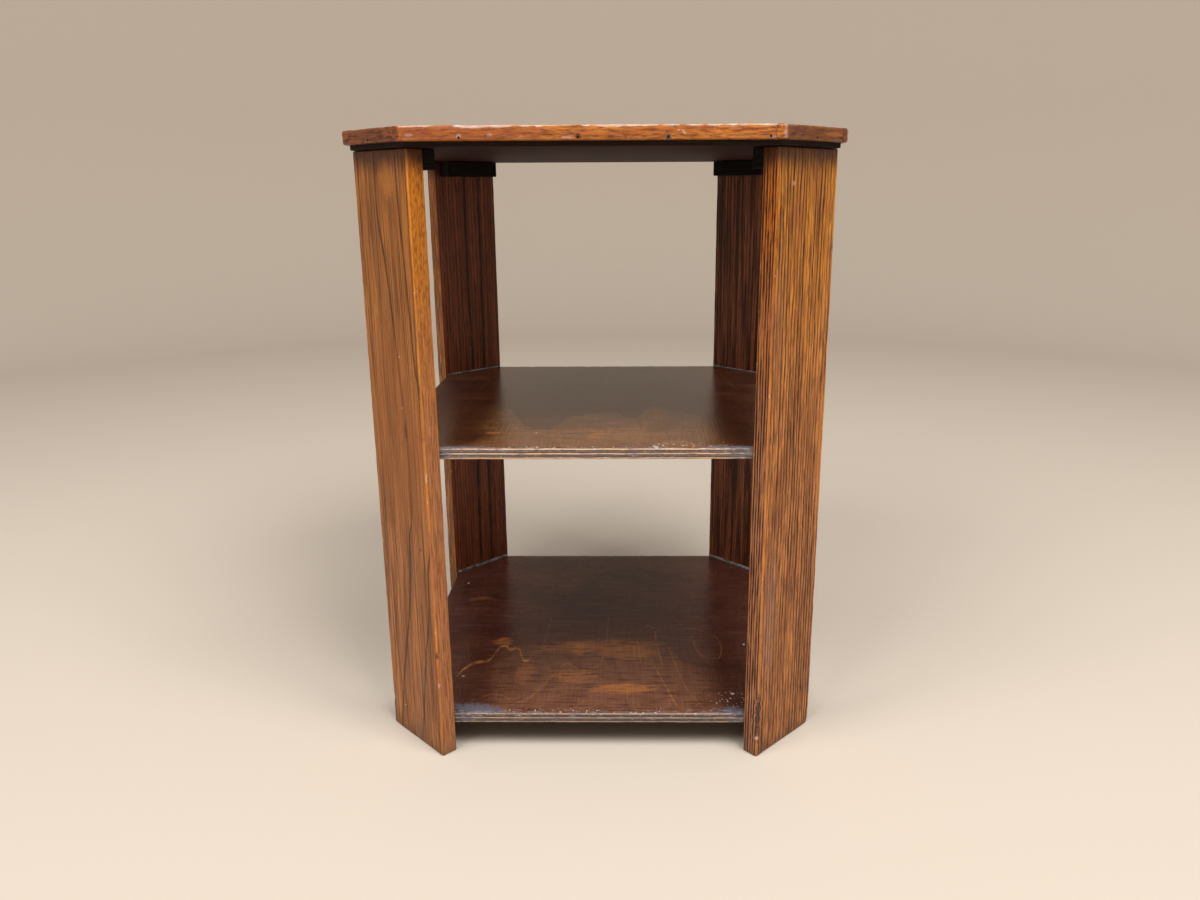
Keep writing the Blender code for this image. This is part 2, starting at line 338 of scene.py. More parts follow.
# Knocks on the legs' outer arrises: the right or left end, height, depth and size
LEG_DENTS = {
    "front_left": ((1, 0.112, 0.0010, 0.006), (1, 0.335, 0.0006, 0.006), (-1, 0.03, 0.0008, 0.006)),
    "front_right": (
        (-1, 0.060, 0.0010, 0.007),
        (-1, 0.047, 0.0013, 0.008),
        (-1, 0.034, 0.0010, 0.007),
        (-1, 0.0205, 0.0014, 0.005),
        (1, 0.004, 0.0012, 0.006),
    ),
    "back_right": ((1, 0.21, 0.0008, 0.007), (-1, 0.006, 0.0012, 0.006), (1, 0.43, 0.0006, 0.006)),
    "back_left": ((-1, 0.16, 0.0008, 0.007), (1, 0.007, 0.0012, 0.006), (-1, 0.38, 0.0006, 0.006)),
}

# Looks of the lipping. The worn width goes with the place along the strip. Marks are as on the legs.
# The pale worn line along the upper arris is partly wear and partly a painted highlight.
LIPPING_LOOK = {
    "orange": (0.54, 0.180, 0.025),
    "red": (0.38, 0.106, 0.017),
    "mottle": 0.72,
    "dark": (0.14, 0.032, 0.008),
    "pore": (0.06, 0.02, 0.008),
    "rubbed": (0.52, 0.19, 0.04),
    "rub share": 0.3,
    "worn": 0.6,
    "worn width": ((-0.17, 0.0009), (-0.05, 0.0011), (0.06, 0.0006), (0.17, 0.0010)),
    "upright": 0.4,
    "bruises": 0.5,
    "marks": (),
}
LIPPING_CHANGES = {
    "front": {
        "worn": 0.7,
        "upright": 0.0,
        "worn width": (
            (-0.168, 0.0004), (-0.138, 0.0017), (-0.122, 0.0010), (-0.106, 0.0028), (-0.080, 0.0025),
            (-0.064, 0.0015), (0.004, 0.0013), (0.019, 0.0028), (0.030, 0.0018), (0.165, 0.0019),
        ),
        "bruises": 0.0,
        "marks": (
            ((0.26, 0.060, 0.018), 0.6, (-0.105, 0.604), (0.075, 0.010), 0),
            ((0.20, 0.045, 0.020), 0.5, (-0.150, 0.605), (0.016, 0.006), 0),
            ((0.44, 0.150, 0.100), 0.5, (-0.0185, 0.6002), (0.0050, 0.0022), 0),
            ((0.085, 0.026, 0.014), 0.9, (-0.0115, 0.6008), (0.0036, 0.0030), 0),
            ((0.075, 0.066, 0.078), 0.9, (0.0645, 0.5996), (0.0030, 0.0024), 0),
            ((0.50, 0.34, 0.28), 0.6, (-0.112, 0.6008), (0.0024, 0.0026), 0),
            ((0.42, 0.25, 0.20), 0.5, (-0.154, 0.6020), (0.0040, 0.0018), 0),
            (LIPPING_NICK, 0.5, (-0.086, 0.6018), (0.0030, 0.0016), 10),
            (LIPPING_NICK, 0.4, (-0.060, 0.6002), (0.0022, 0.0014), 0),
            ((0.50, 0.30, 0.27), 0.6, (-0.021, 0.5998), (0.0056, 0.0015), 0),
            ((0.16, 0.035, 0.014), 0.8, (0.028, 0.5995), (0.0026, 0.0013), 0),
            (WHITE_SCRATCH, 0.55, (0.0775, 0.6035), (0.0034, 0.0010), -52),
            (WHITE_SCRATCH, 0.45, (0.0730, 0.6052), (0.0018, 0.0008), 0),
            (DARK_SCRATCH, 0.7, (0.100, 0.6072), (0.0060, 0.0010), 5),
            (DARK_SCRATCH, 0.7, (0.130, 0.6050), (0.0180, 0.0008), 3),
            ((0.36, 0.24, 0.23), 0.6, (0.152, 0.5995), (0.0050, 0.0014), 0),
        ),
    },
    "front_left": {
        "orange": (0.265, 0.070, 0.013),
        "red": (0.125, 0.029, 0.008),
        "dark": (0.032, 0.008, 0.004),
        "mottle": 0.85,
        "rubbed": (0.24, 0.075, 0.018),
        "worn": 0.0,
        "upright": 0.1,
        "bruises": 0.15,
        "marks": (((0.045, 0.013, 0.007), 0.7, (0.020, 0.6055), (0.0065, 0.0012), -40),),
    },
    "front_right": {
        "orange": (0.200, 0.068, 0.013),
        "red": (0.130, 0.038, 0.010),
        "dark": (0.075, 0.019, 0.008),
        "rubbed": (0.30, 0.10, 0.018),
        "worn": 0.15,
        "bruises": 0.15,
        "marks": (
            ((0.10, 0.030, 0.018), 0.6, (-0.030, 0.607), (0.016, 0.004), 0),
            ((0.36, 0.120, 0.020), 0.5, (0.024, 0.6035), (0.018, 0.0028), 0),
            (BLACK_CRACK, 0.8, (0.0345, 0.6010), (0.0030, 0.0010), 30),
            (BLACK_CRACK, 0.8, (0.0350, 0.6010), (0.0030, 0.0010), -30),
            (DARK_SPOT, 0.6, (-0.038, 0.602), (0.0030, 0.0020), 0),
            (DARK_SPOT, 0.6, (-0.024, 0.601), (0.0020, 0.0014), 0),
        ),
    },
}

# Knocks on the shelves' front rims: place across, depth and size
SHELF_DENTS = {
    "middle_shelf": (
        (-0.141, 0.0009, 0.006), (0.056, 0.0006, 0.005), (0.093, 0.0005, 0.004), (0.143, 0.0009, 0.006),
    ),
    "bottom_shelf": (
        (-0.143, 0.0010, 0.006), (-0.118, 0.0006, 0.006), (0.02, 0.0005, 0.005), (0.139, 0.0010, 0.007),
    ),
}

# Looks of the shelves. The worn edge and the lines have points across and in depth, and the long lines in
# depth and across. A patch or a scuff is a colour, a share, a middle, two half sizes and a turn in degrees.
SHELF_LOOKS = {
    "middle_shelf": {
        "dark": (0.038, 0.0098, 0.0050),
        "mid": (0.064, 0.0180, 0.0080),
        "warm": (0.235, 0.092, 0.030),
        "line": (0.26, 0.120, 0.045),
        "ply": (0.68, 0.48, 0.345),
        "ply dark": (0.34, 0.215, 0.155),
        "ply gold": (0.62, 0.37, 0.17),
        "cross ply": (0.070, 0.038, 0.030),
        "shift": 1.0,
        "sheen": 0.185,
        "warm share": 0.36,
        "fibre": 0.30,
        "cross": 0.55,
        "glint": 0.22,
        "glint size": (0.090, 0.020, 1),
        "wear start": 0.05,
        "worn width": 0.100,
        "worn share": 0.56,
        "worn edge": (
            (-0.125, -0.030), (-0.105, -0.042), (-0.095, -0.066), (-0.084, -0.098), (-0.073, -0.130),
            (-0.055, -0.135), (-0.040, -0.108), (-0.018, -0.074), (0.004, -0.066), (0.020, -0.070),
            (0.027, -0.088), (0.035, -0.096), (0.043, -0.086), (0.050, -0.044), (0.064, -0.038),
            (0.075, -0.058), (0.095, -0.072), (0.125, -0.100),
        ),
        "specks": (((0.085, -0.196), (0.055, 0.018)), ((-0.02, -0.206), (0.14, 0.006))),
        "lines": (
            (0.0024, 0.55, (
                (-0.108, -0.035), (-0.100, -0.055), (-0.090, -0.085), (-0.078, -0.122), (-0.066, -0.134),
            )),
            (0.0024, 0.70, (
                (0.018, -0.066), (0.024, -0.082), (0.033, -0.094), (0.042, -0.086), (0.048, -0.064),
            )),
        ),
        "long lines": (),
        "patches": (
            (AMBER, 0.40, (-0.104, -0.105), (0.024, 0.070), 14),
            (AMBER, 0.30, (-0.085, -0.165), (0.024, 0.030), 0),
            (AMBER, 0.30, (0.065, -0.075), (0.016, 0.040), 0),
            (AMBER, 0.40, (0.010, -0.150), (0.050, 0.030), 0),
            (ORANGE, 0.70, (-0.105, -0.152), (0.009, 0.007), 0),
            (ORANGE, 0.35, (0.0, -0.165), (0.010, 0.020), 0),
        ),
        "scuffs": (
            (BLUE_SCUFF, 0.65, (-0.128, -0.205), (0.032, 0.0075), 0),
            (BLUE_SCUFF, 0.60, (0.125, -0.205), (0.030, 0.0065), 0),
            (SPECK, 0.60, (0.056, -0.203), (0.0025, 0.0070), 20),
            (SPECK, 0.60, (-0.056, -0.205), (0.0016, 0.0030), 0),
            (SPECK, 0.60, (-0.062, -0.150), (0.0012, 0.0024), 0),
        ),
    },
    "bottom_shelf": {
        "dark": (0.046, 0.0130, 0.0085),
        "mid": (0.078, 0.0240, 0.0140),
        "warm": (0.190, 0.078, 0.046),
        "line": (0.42, 0.160, 0.042),
        "ply": (0.46, 0.325, 0.262),
        "ply dark": (0.20, 0.130, 0.108),
        "ply gold": (0.44, 0.27, 0.14),
        "cross ply": (0.045, 0.027, 0.023),
        "shift": 2.0,
        "sheen": 0.14,
        "warm share": 0.6,
        "fibre": 0.35,
        "cross": 0.70,
        "glint": 0.22,
        "glint size": (0.034, 0.006, 1),
        "wear start": 0.08,
        "worn width": 0.105,
        "worn share": 0.22,
        "worn edge": (
            (-0.135, -0.100), (-0.110, -0.074), (-0.080, -0.064), (-0.050, -0.060), (-0.024, -0.046),
            (0.010, -0.050), (0.045, -0.046), (0.068, -0.052), (0.090, -0.100), (0.120, -0.120),
        ),
        "specks": (((0.0, -0.206), (0.15, 0.009)), ((0.135, -0.18), (0.025, 0.025))),
        "lines": (
            (0.0058, 1.0, (
                (-0.160, -0.142), (-0.146, -0.108), (-0.128, -0.098), (-0.121, -0.072), (-0.115, -0.066),
                (-0.107, -0.075), (-0.100, -0.070), (-0.093, -0.090), (-0.087, -0.101), (-0.082, -0.092),
            )),
            (0.0022, 0.40, (
                (-0.092, -0.192), (-0.075, -0.180), (-0.060, -0.150), (-0.050, -0.125), (-0.040, -0.108),
                (-0.033, -0.112), (-0.022, -0.122), (-0.003, -0.110), (0.003, -0.090),
            )),
            (0.0020, 0.35, (
                (0.088, -0.027), (0.100, -0.023), (0.112, -0.024), (0.124, -0.034), (0.130, -0.050),
            )),
            (0.0020, 0.35, (
                (0.108, -0.050), (0.110, -0.068), (0.113, -0.084), (0.120, -0.094), (0.128, -0.095),
            )),
            (0.0022, 0.35, (
                (-0.135, -0.186), (-0.124, -0.178), (-0.112, -0.172), (-0.100, -0.178), (-0.094, -0.186),
            )),
            (0.0020, 0.25, (
                (-0.062, 0.138), (-0.045, 0.128), (-0.034, 0.120), (-0.022, 0.142), (-0.008, 0.150),
            )),
        ),
        "long lines": (
            (0.0016, 0.40, ((-0.105, 0.044), (-0.080, 0.042), (-0.050, 0.040))),
            (0.0018, 0.45, ((-0.110, 0.068), (-0.090, 0.066), (-0.060, 0.063), (-0.030, 0.062))),
            (0.0018, 0.45, ((-0.195, 0.080), (-0.165, 0.072), (-0.125, 0.062), (-0.095, 0.055))),
            (0.0016, 0.40, ((-0.195, 0.106), (-0.160, 0.092), (-0.125, 0.085), (-0.070, 0.077))),
            (0.0016, 0.35, ((-0.098, 0.118), (-0.085, 0.111), (-0.065, 0.107), (-0.040, 0.105))),
            (0.0016, 0.35, ((-0.098, 0.128), (-0.085, 0.136), (-0.065, 0.138), (-0.040, 0.131))),
            (0.0016, 0.35, ((-0.105, -0.002), (-0.080, 0.002), (-0.040, 0.004), (0.010, 0.005))),
            (0.0016, 0.30, ((-0.085, -0.074), (-0.060, -0.070), (-0.020, -0.068), (0.010, -0.067))),
        ),
        "patches": (
            (RED_AMBER, 0.80, (0.005, -0.065), (0.066, 0.018), 0),
            (RED_AMBER, 0.75, (0.030, -0.082), (0.046, 0.018), 0),
            (RED_AMBER, 0.65, (-0.045, -0.074), (0.042, 0.014), 0),
            (ORANGE, 0.55, (-0.026, -0.072), (0.010, 0.018), 0),
            (ORANGE, 0.60, (0.026, -0.161), (0.042, 0.012), 0),
            (RED_AMBER, 0.65, (-0.030, -0.135), (0.028, 0.016), 0),
            (ORANGE, 0.65, (-0.117, -0.056), (0.015, 0.012), 15),
            (ORANGE, 0.30, (-0.165, 0.062), (0.018, 0.008), 20),
            (RED_AMBER, 0.50, (-0.085, -0.125), (0.014, 0.030), 0),
        ),
        "scuffs": (
            (BLUE_SCUFF, 0.80, (-0.128, -0.200), (0.036, 0.0125), -8),
            (BLUE_SCUFF, 0.70, (0.138, -0.203), (0.022, 0.0090), 0),
            (SPECK, 0.70, (0.140, -0.171), (0.0022, 0.0028), 0),
            (SPECK, 0.60, (0.137, -0.180), (0.0016, 0.0020), 0),
            (SPECK, 0.60, (-0.152, -0.135), (0.0020, 0.0016), 0),
            (SPECK, 0.60, (0.165, -0.062), (0.0014, 0.0030), 0),
            (SPECK, 0.60, (-0.188, 0.112), (0.0020, 0.0026), 0),
        ),
    },
}


def turn_of(side):
    """How far a side or a corner is turned from the front, counterclockwise from above."""
    return SIDE_TURN * SIDES.index(side)


def turned(point, side):
    """A point or a direction drawn at the front, carried round to another side."""
    return Matrix.Rotation(turn_of(side), 3, "Z") @ Vector(point)


def reach(node, side, direction):
    """How far a node of the frame goes in a direction, seen with its own side turned to the front."""
    way = turned(direction, side)
    return max(vert.co.dot(way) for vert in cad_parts[node].data.vertices)


# Sizes from the frame
leg_half_width = reach("leg_front_right", "front_right", ACROSS)
leg_outer = reach("leg_front_right", "front_right", FRONT)
leg_inner = -reach("leg_front_right", "front_right", -FRONT)
leg_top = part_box("leg_front_right")[1].z
panel_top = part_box("top_panel")[1].z
lipping_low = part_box("lipping_front")[0].z


# Modelling


def block(name, low, high):
    """A cube primitive at its size and place, in edit mode and ready to be shaped."""
    low = Vector(low)
    high = Vector(high)
    bpy.ops.object.select_all(action="DESELECT")
    bpy.ops.mesh.primitive_cube_add(size=1, location=(low + high) / 2, scale=high - low)
    piece = bpy.context.object
    piece.name = name
    bpy.ops.object.transform_apply()
    bpy.ops.object.mode_set(mode="EDIT")
    return piece


def pick(kind, wanted):
    """Selects, in edit mode, the vertices, edges or faces that a test wants."""
    mesh = bpy.context.object.data
    bpy.ops.mesh.select_mode(type=kind)
    bpy.ops.mesh.select_all(action="DESELECT")
    shape = bmesh.from_edit_mesh(mesh)
    parts = {"VERT": shape.verts, "EDGE": shape.edges, "FACE": shape.faces}[kind]
    for part in [part for part in parts if wanted(part)]:
        part.select_set(True)
    bmesh.update_edit_mesh(mesh)


def runs(edge, way, least):
    """Whether an edge runs along a direction and is longer than a length."""
    span = edge.verts[1].co - edge.verts[0].co
    return span.length > least and abs(span.dot(way)) > STRAIGHT * span.length


def divide(way, least, length, row):
    """Divides the long edges that run one way into rows of about one size."""
    pick("EDGE", lambda edge: runs(edge, way, least))
    bpy.ops.mesh.subdivide(number_cuts=round(length / row) - 1)


def mark_arrises(piece, faces, arris):
    """Puts the vertices on the rounded arrises between some faces into a vertex group."""
    group = piece.vertex_groups.new(name="arris")
    for vert in piece.data.vertices:
        gaps = [distance - vert.co.dot(way) for way, distance in faces]
        if sum(gap < arris + TOUCHING for gap in gaps) > 1:
            group.add([vert.index], 1.0, "REPLACE")


def make_active(piece):
    bpy.ops.object.select_all(action="DESELECT")
    piece.select_set(True)
    bpy.context.view_layer.objects.active = piece


def copy_round(blank, name, side):
    """A copy with its own mesh, turned about the upright axis of the table."""
    make_active(blank)
    bpy.ops.object.duplicate()
    piece = bpy.context.object
    piece.name = name
    piece.rotation_euler.z = turn_of(side)
    bpy.ops.object.transform_apply()
    return piece


def rub(piece, depth, size):
    """Rubs the marked arrises away unevenly."""
    make_active(piece)
    clouds = bpy.data.textures.new(piece.name + " wear", "CLOUDS")
    clouds.noise_scale = size
    clouds.noise_depth = WEAR_DETAIL
    wear = piece.modifiers.new("wear", "DISPLACE")
    wear.texture = clouds
    wear.texture_coords = "LOCAL"
    wear.vertex_group = "arris"
    wear.mid_level = WEAR_LEVEL
    wear.strength = -depth
    bpy.ops.object.modifier_apply(modifier=wear.name)


def dent(piece, place, push, size):
    """Pushes the surface in round one place."""
    make_active(piece)
    nearest = min(piece.data.vertices, key=lambda vert: (vert.co - place).length).index
    bpy.ops.object.mode_set(mode="EDIT")
    pick("VERT", lambda vert: vert.index == nearest)
    bpy.ops.transform.translate(
        value=push,
        use_proportional_edit=True,
        proportional_edit_falloff="SHARP",
        proportional_size=size,
    )
    bpy.ops.object.mode_set(mode="OBJECT")


def smooth(piece):
    make_active(piece)
    bpy.ops.object.shade_smooth_by_angle(angle=SMOOTH_ANGLE)


def hand_in(piece, node, slot, *finishes):
    """Dresses a finished piece and lets it stand for a node of the frame."""
    smooth(piece)
    for finish in finishes:
        piece.data.materials.append(finish)
    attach(piece, "root")
    if node:
        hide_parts(node)


# The view, the floor and the light


def set_view():
    """Puts the camera where the photograph was taken from."""
    level = math.cos(LENS_PITCH)
    ahead = Vector((math.sin(LENS_YAW) * level, math.cos(LENS_YAW) * level, math.sin(LENS_PITCH)))
    right = Vector((math.cos(LENS_YAW), -math.sin(LENS_YAW), 0))
    above = right.cross(ahead)
    tilt = Matrix.Rotation(LENS_ROLL, 3, -ahead)
    facing = Matrix((tilt @ right, tilt @ above, -ahead)).transposed()
    lens = bpy.data.cameras.new("photograph view")
    lens.sensor_width = SENSOR_WIDTH
    lens.lens = FOCAL_PIXELS / PHOTO_WIDTH * SENSOR_WIDTH
    lens.shift_x, lens.shift_y = (pixels / PHOTO_WIDTH for pixels in LENS_SHIFT)
    camera = bpy.data.objects.new("photograph view", lens)
    bpy.context.scene.collection.objects.link(camera)
    camera.matrix_world = Matrix.Translation(LENS_PLACE) @ facing.to_4x4()
    bpy.context.scene.camera = camera


def soft_light(name, place, watts):
    """A large square lamp that faces the middle of the table."""
    lamp = bpy.data.lights.new(name, "AREA")
    lamp.size = LAMP_SIZE
    lamp.energy = watts
    holder = bpy.data.objects.new(name, lamp)
    bpy.context.scene.collection.objects.link(holder)
    holder.location = place
    holder.rotation_euler = (TABLE_MIDDLE - Vector(place)).to_track_quat("-Z", "Y").to_euler()


def round_floor():
    """A pale floor that curves up into a low wall all round."""
    bpy.ops.object.select_all(action="DESELECT")
    bpy.ops.mesh.primitive_circle_add(vertices=FLOOR_FACETS, radius=FLOOR_RADIUS, fill_type="NGON")
    floor = bpy.context.object
    floor.name = "floor"
    bpy.ops.object.mode_set(mode="EDIT")
    pick("EDGE", lambda edge: edge.is_boundary)
    bend = math.pi / 2 / COVE_STEPS
    for step in range(COVE_STEPS):
        outward = COVE_RADIUS * (math.sin(bend * (step + 1)) - math.sin(bend * step))
        rise = COVE_RADIUS * (math.cos(bend * step) - math.cos(bend * (step + 1)))
        radius = FLOOR_RADIUS + COVE_RADIUS * math.sin(bend * step)
        bpy.ops.mesh.extrude_region_move(TRANSFORM_OT_translate={"value": (0, 0, rise)})
        grow = 1 + outward / radius
        bpy.ops.transform.resize(value=(grow, grow, 1))
    bpy.ops.mesh.extrude_region_move(TRANSFORM_OT_translate={"value": (0, 0, WALL_HEIGHT)})
    bpy.ops.mesh.select_all(action="SELECT")
    bpy.ops.mesh.normals_make_consistent(inside=True)
    bpy.ops.object.mode_set(mode="OBJECT")
    bpy.ops.object.shade_smooth()
    paint = Finish("pale floor paint")
    paint.shader.inputs["Base Color"].default_value = (*FLOOR_COLOUR, 1)
    paint.shader.inputs["Roughness"].default_value = FLOOR_ROUGHNESS
    paint.shader.inputs["Specular IOR Level"].default_value = FLOOR_SHEEN
    floor.data.materials.append(paint.material)


def light_room():
    """Soft daylight from all round, a key lamp at the front right and a weaker one at the front left."""
    world = bpy.data.worlds.new("pale sky")
    bpy.context.scene.world = world
    world.use_nodes = True
    sky = world.node_tree.nodes["Background"]
    sky.inputs["Color"].default_value = (*SKY_COLOUR, 1)
    sky.inputs["Strength"].default_value = SKY_STRENGTH
    soft_light("key", KEY_PLACE, KEY_WATTS)
    soft_light("fill", FILL_PLACE, FILL_WATTS)
    bpy.context.scene.view_settings.view_transform = "Standard"


# Node materials


class Field:
    """A number that varies over a surface, with plain arithmetic."""

    def __init__(self, finish, socket):
        self.finish = finish
        self.socket = socket

    def __add__(self, other):
        return self.finish.calc("ADD", self, other)

    def __sub__(self, other):
        return self.finish.calc("SUBTRACT", self, other)

    def __rsub__(self, other):
        return self.finish.calc("SUBTRACT", other, self)

    def __mul__(self, other):
        return self.finish.calc("MULTIPLY", self, other)

    def __truediv__(self, other):
        return self.finish.calc("DIVIDE", self, other)

    __radd__ = __add__
    __rmul__ = __mul__

    def size(self):
        return self.finish.calc("ABSOLUTE", self)

    def part(self):
        return self.finish.calc("FRACT", self)

    def root(self):
        return self.finish.calc("SQRT", self)

    def most(self, other):
        return self.finish.calc("MAXIMUM", self, other)

    def least(self, other):
        return self.finish.calc("MINIMUM", self, other)

    def fade(self, start, end):
        """0 before the start and 1 past the end, with a soft passage between, rising or falling."""
        node = self.finish.tree.nodes.new("ShaderNodeMapRange")
        node.interpolation_type = "SMOOTHSTEP"
        for socket, value in zip(node.inputs, (self, start, end)):
            self.finish.feed(socket, value)
        return Field(self.finish, node.outputs[0])

    def follow(self, points):
        """A smooth curve through points of a number and its answer."""
        first, last = points[0][0], points[-1][0]
        answers = [answer for _, answer in points]
        low = min(answers)
        span = max(answers) - low
        node = self.finish.tree.nodes.new("ShaderNodeFloatCurve")
        curve = node.mapping.curves[0]
        for number, answer in points[1:-1]:
            curve.points.new((number - first) / (last - first), (answer - low) / span)
        for end, answer in ((0, answers[0]), (-1, answers[-1])):
            curve.points[end].location = (-end, (answer - low) / span)
        node.mapping.update()
        self.finish.feed(node.inputs["Value"], (self - first) / (last - first))
        return Field(self.finish, node.outputs[0]) * span + low

    def stroke(self, along, points, width):
        """1 on a line drawn through points, where this number follows another, and 0 off it."""
        first, last = points[0][0], points[-1][0]
        ends = along.fade(first - width, first + width) * along.fade(last + width, last - width)
        return (self - along.follow(points)).size().fade(width, 0) * ends


class Finish:
    """A node material in a piece's own directions: x along its side, y inwards from the front, z up."""

    def __init__(self, name, side="front"):
        self.material = bpy.data.materials.new(name)
        self.material.use_nodes = True
        self.tree = self.material.node_tree
        self.shader = self.tree.nodes["Principled BSDF"]
        place = self.tree.nodes.new("ShaderNodeTexCoord")
        turn = self.tree.nodes.new("ShaderNodeMapping")
        turn.inputs["Rotation"].default_value = (0, 0, -turn_of(side))
        self.tree.links.new(place.outputs["Object"], turn.inputs["Vector"])
        self.here = turn.outputs[0]
        split = self.tree.nodes.new("ShaderNodeSeparateXYZ")
        self.tree.links.new(self.here, split.inputs[0])
        self.across, self.depth, self.height = [Field(self, socket) for socket in split.outputs]

    def feed(self, socket, value):
        """Sets a socket to a number or a colour, or links another node to it."""
        if isinstance(value, Field):
            value = value.socket
        if isinstance(value, bpy.types.NodeSocket):
            self.tree.links.new(value, socket)
        elif socket.type == "RGBA":
            socket.default_value = (*value, 1)
        else:
            socket.default_value = value

    def calc(self, kind, *values):
        node = self.tree.nodes.new("ShaderNodeMath")
        node.operation = kind
        for socket, value in zip(node.inputs, values):
            self.feed(socket, value)
        return Field(self, node.outputs[0])

    def noise(self, size, detail=1.0, shift=0.0):
        """Soft noise from 0 to 1, with features of a size in metres along the piece's directions."""
        scaled = self.tree.nodes.new("ShaderNodeMapping")
        scaled.vector_type = "TEXTURE"
        scaled.inputs["Scale"].default_value = size
        scaled.inputs["Location"].default_value = (shift, shift, shift)
        self.tree.links.new(self.here, scaled.inputs["Vector"])
        node = self.tree.nodes.new("ShaderNodeTexNoise")
        self.tree.links.new(scaled.outputs[0], node.inputs["Vector"])
        node.inputs["Scale"].default_value = 1.0
        node.inputs["Detail"].default_value = detail
        return Field(self, node.outputs[0])

    def mix(self, share, under, over, way="MIX"):
        node = self.tree.nodes.new("ShaderNodeMix")
        node.data_type = "RGBA"
        node.blend_type = way
        for place, value in zip((0, 6, 7), (share, under, over)):
            self.feed(node.inputs[place], value)
        return node.outputs[2]

    def oval(self, middle, radii, turn):
        """Distance from the middle of an oval, 1 at its rim."""
        placed = self.tree.nodes.new("ShaderNodeMapping")
        placed.vector_type = "TEXTURE"
        for name, value in (("Location", middle), ("Scale", radii), ("Rotation", turn)):
            placed.inputs[name].default_value = value
        self.tree.links.new(self.here, placed.inputs["Vector"])
        node = self.tree.nodes.new("ShaderNodeVectorMath")
        node.operation = "LENGTH"
        self.tree.links.new(placed.outputs[0], node.inputs[0])
        return Field(self, node.outputs["Value"])

    def lay_marks(self, colour, marks, size, core):
        """Lays oval marks over a colour on a flat face. Their rims are ragged, and fade outside a core."""
        ragged = (self.noise(size, detail=3) - 0.5) * 1.6
        for paint, share, (right, back), (wide, deep), tilt in marks:
            oval = self.oval((right, back, 0), (wide, deep, FAR), (0, 0, math.radians(tilt)))
            colour = self.mix((oval + ragged).fade(1.0, core) * share, colour, paint)
        return colour

    def hang_marks(self, colour, marks, depth, reach_in):
        """Lays oval marks with ragged rims over a colour, on an upright face."""
        ragged = (self.noise((0.003, 0.003, 0.003), detail=2) - 0.5) * 0.9
        for paint, share, (right, up), (wide, tall), tilt in marks:
            oval = self.oval((right, depth, up), (wide, reach_in, tall), (0, -math.radians(tilt), 0))
            colour = self.mix((oval + ragged).fade(1.0, 0.5) * share, colour, paint)
        return colour

    def finish(self, colour, roughness, relief, depth, sheen=PLAIN_SHEEN):
        """Joins the finished colour, roughness, relief and sheen to the shader."""
        self.feed(self.shader.inputs["Base Color"], colour)
        self.feed(self.shader.inputs["Roughness"], roughness)
        self.shader.inputs["Specular IOR Level"].default_value = sheen
        bump = self.tree.nodes.new("ShaderNodeBump")
        bump.inputs["Distance"].default_value = depth
        self.feed(bump.inputs["Height"], relief)
        self.tree.links.new(bump.outputs[0], self.shader.inputs["Normal"])
        return self.material


def arris_gap(first, second):
    """Distance from an arris, given the distances from the two faces that meet there."""
    return (first * first + second * second).root()


def leg_lines(oak, look, waver, uneven, inside):
    """Growth lines up a leg: close rings, and single lines drawn through points."""
    drift = (oak.noise((0.06, 0.06, 0.4)) - 0.5) * look["drift"]
    grain = oak.across + (oak.depth + leg_outer) * look["slant"] + oak.height * look["lean"]
    ring = ((grain + drift + uneven + waver) / look["ring"]).part()
    dash = oak.noise((0.0022, 0.0022, 0.026), detail=3).fade(0.32, 0.52) * 0.35 + 0.65
    strength = oak.noise((0.0060, 0.0060, 0.2), shift=7).fade(0.34, 0.56) * 0.55 + 0.45
    line = ring.fade(look["line"], 0.06).most(ring.fade(0.88, 1.0)) * (dash * strength)
    line = line * (inside * look["inside rings"] + (1 - inside) * look["rings"])
    patchy = oak.noise((0.006, 0.006, 0.03), detail=2).fade(0.25, 0.5) * 0.6 + 0.4
    for width, share, points in look["lines"]:
        line = line.most((oak.across + waver).stroke(oak.height, points, width) * patchy * share)
    return line


def leg_face(oak, look, broad, high):
    """The colour of a leg's outer face under its growth lines."""
    fine = oak.noise((0.0011, 0.0011, look["fine length"]), detail=2, shift=8).fade(0.46, 0.60)
    colour = oak.mix(high, look["low face"], look["high face"])
    colour = oak.mix(broad.fade(0.44, 0.64) * 0.65, colour, look["brown"])
    return oak.mix(fine * look["fine"], colour, look["fine line"])


def leg_end(oak, look, waver, uneven, high):
    """The colour of a leg's narrow ends, streaked along the growth rings."""
    fleck = oak.noise(look["fleck size"], detail=2, shift=3).fade(0.48, 0.58)
    streak = oak.noise((0.0008, 0.0008, 0.024), detail=2, shift=3).fade(0.48, 0.58)
    streak = fleck * high + streak * (1 - high)
    ring = ((oak.depth + waver + uneven * 0.3) / look["end ring"]).part()
    broken = oak.noise((0.0016, 0.0016, 0.032), detail=2).fade(0.34, 0.52)
    line = (ring - 0.5).size().fade(0.40, 0.14) * broken
    colour = oak.mix(high, look["low end"], look["high end"])
    colour = oak.mix(streak * look["streaks"], colour, look["streak"])
    return oak.mix(line * look["end lines"], colour, look["streak"])


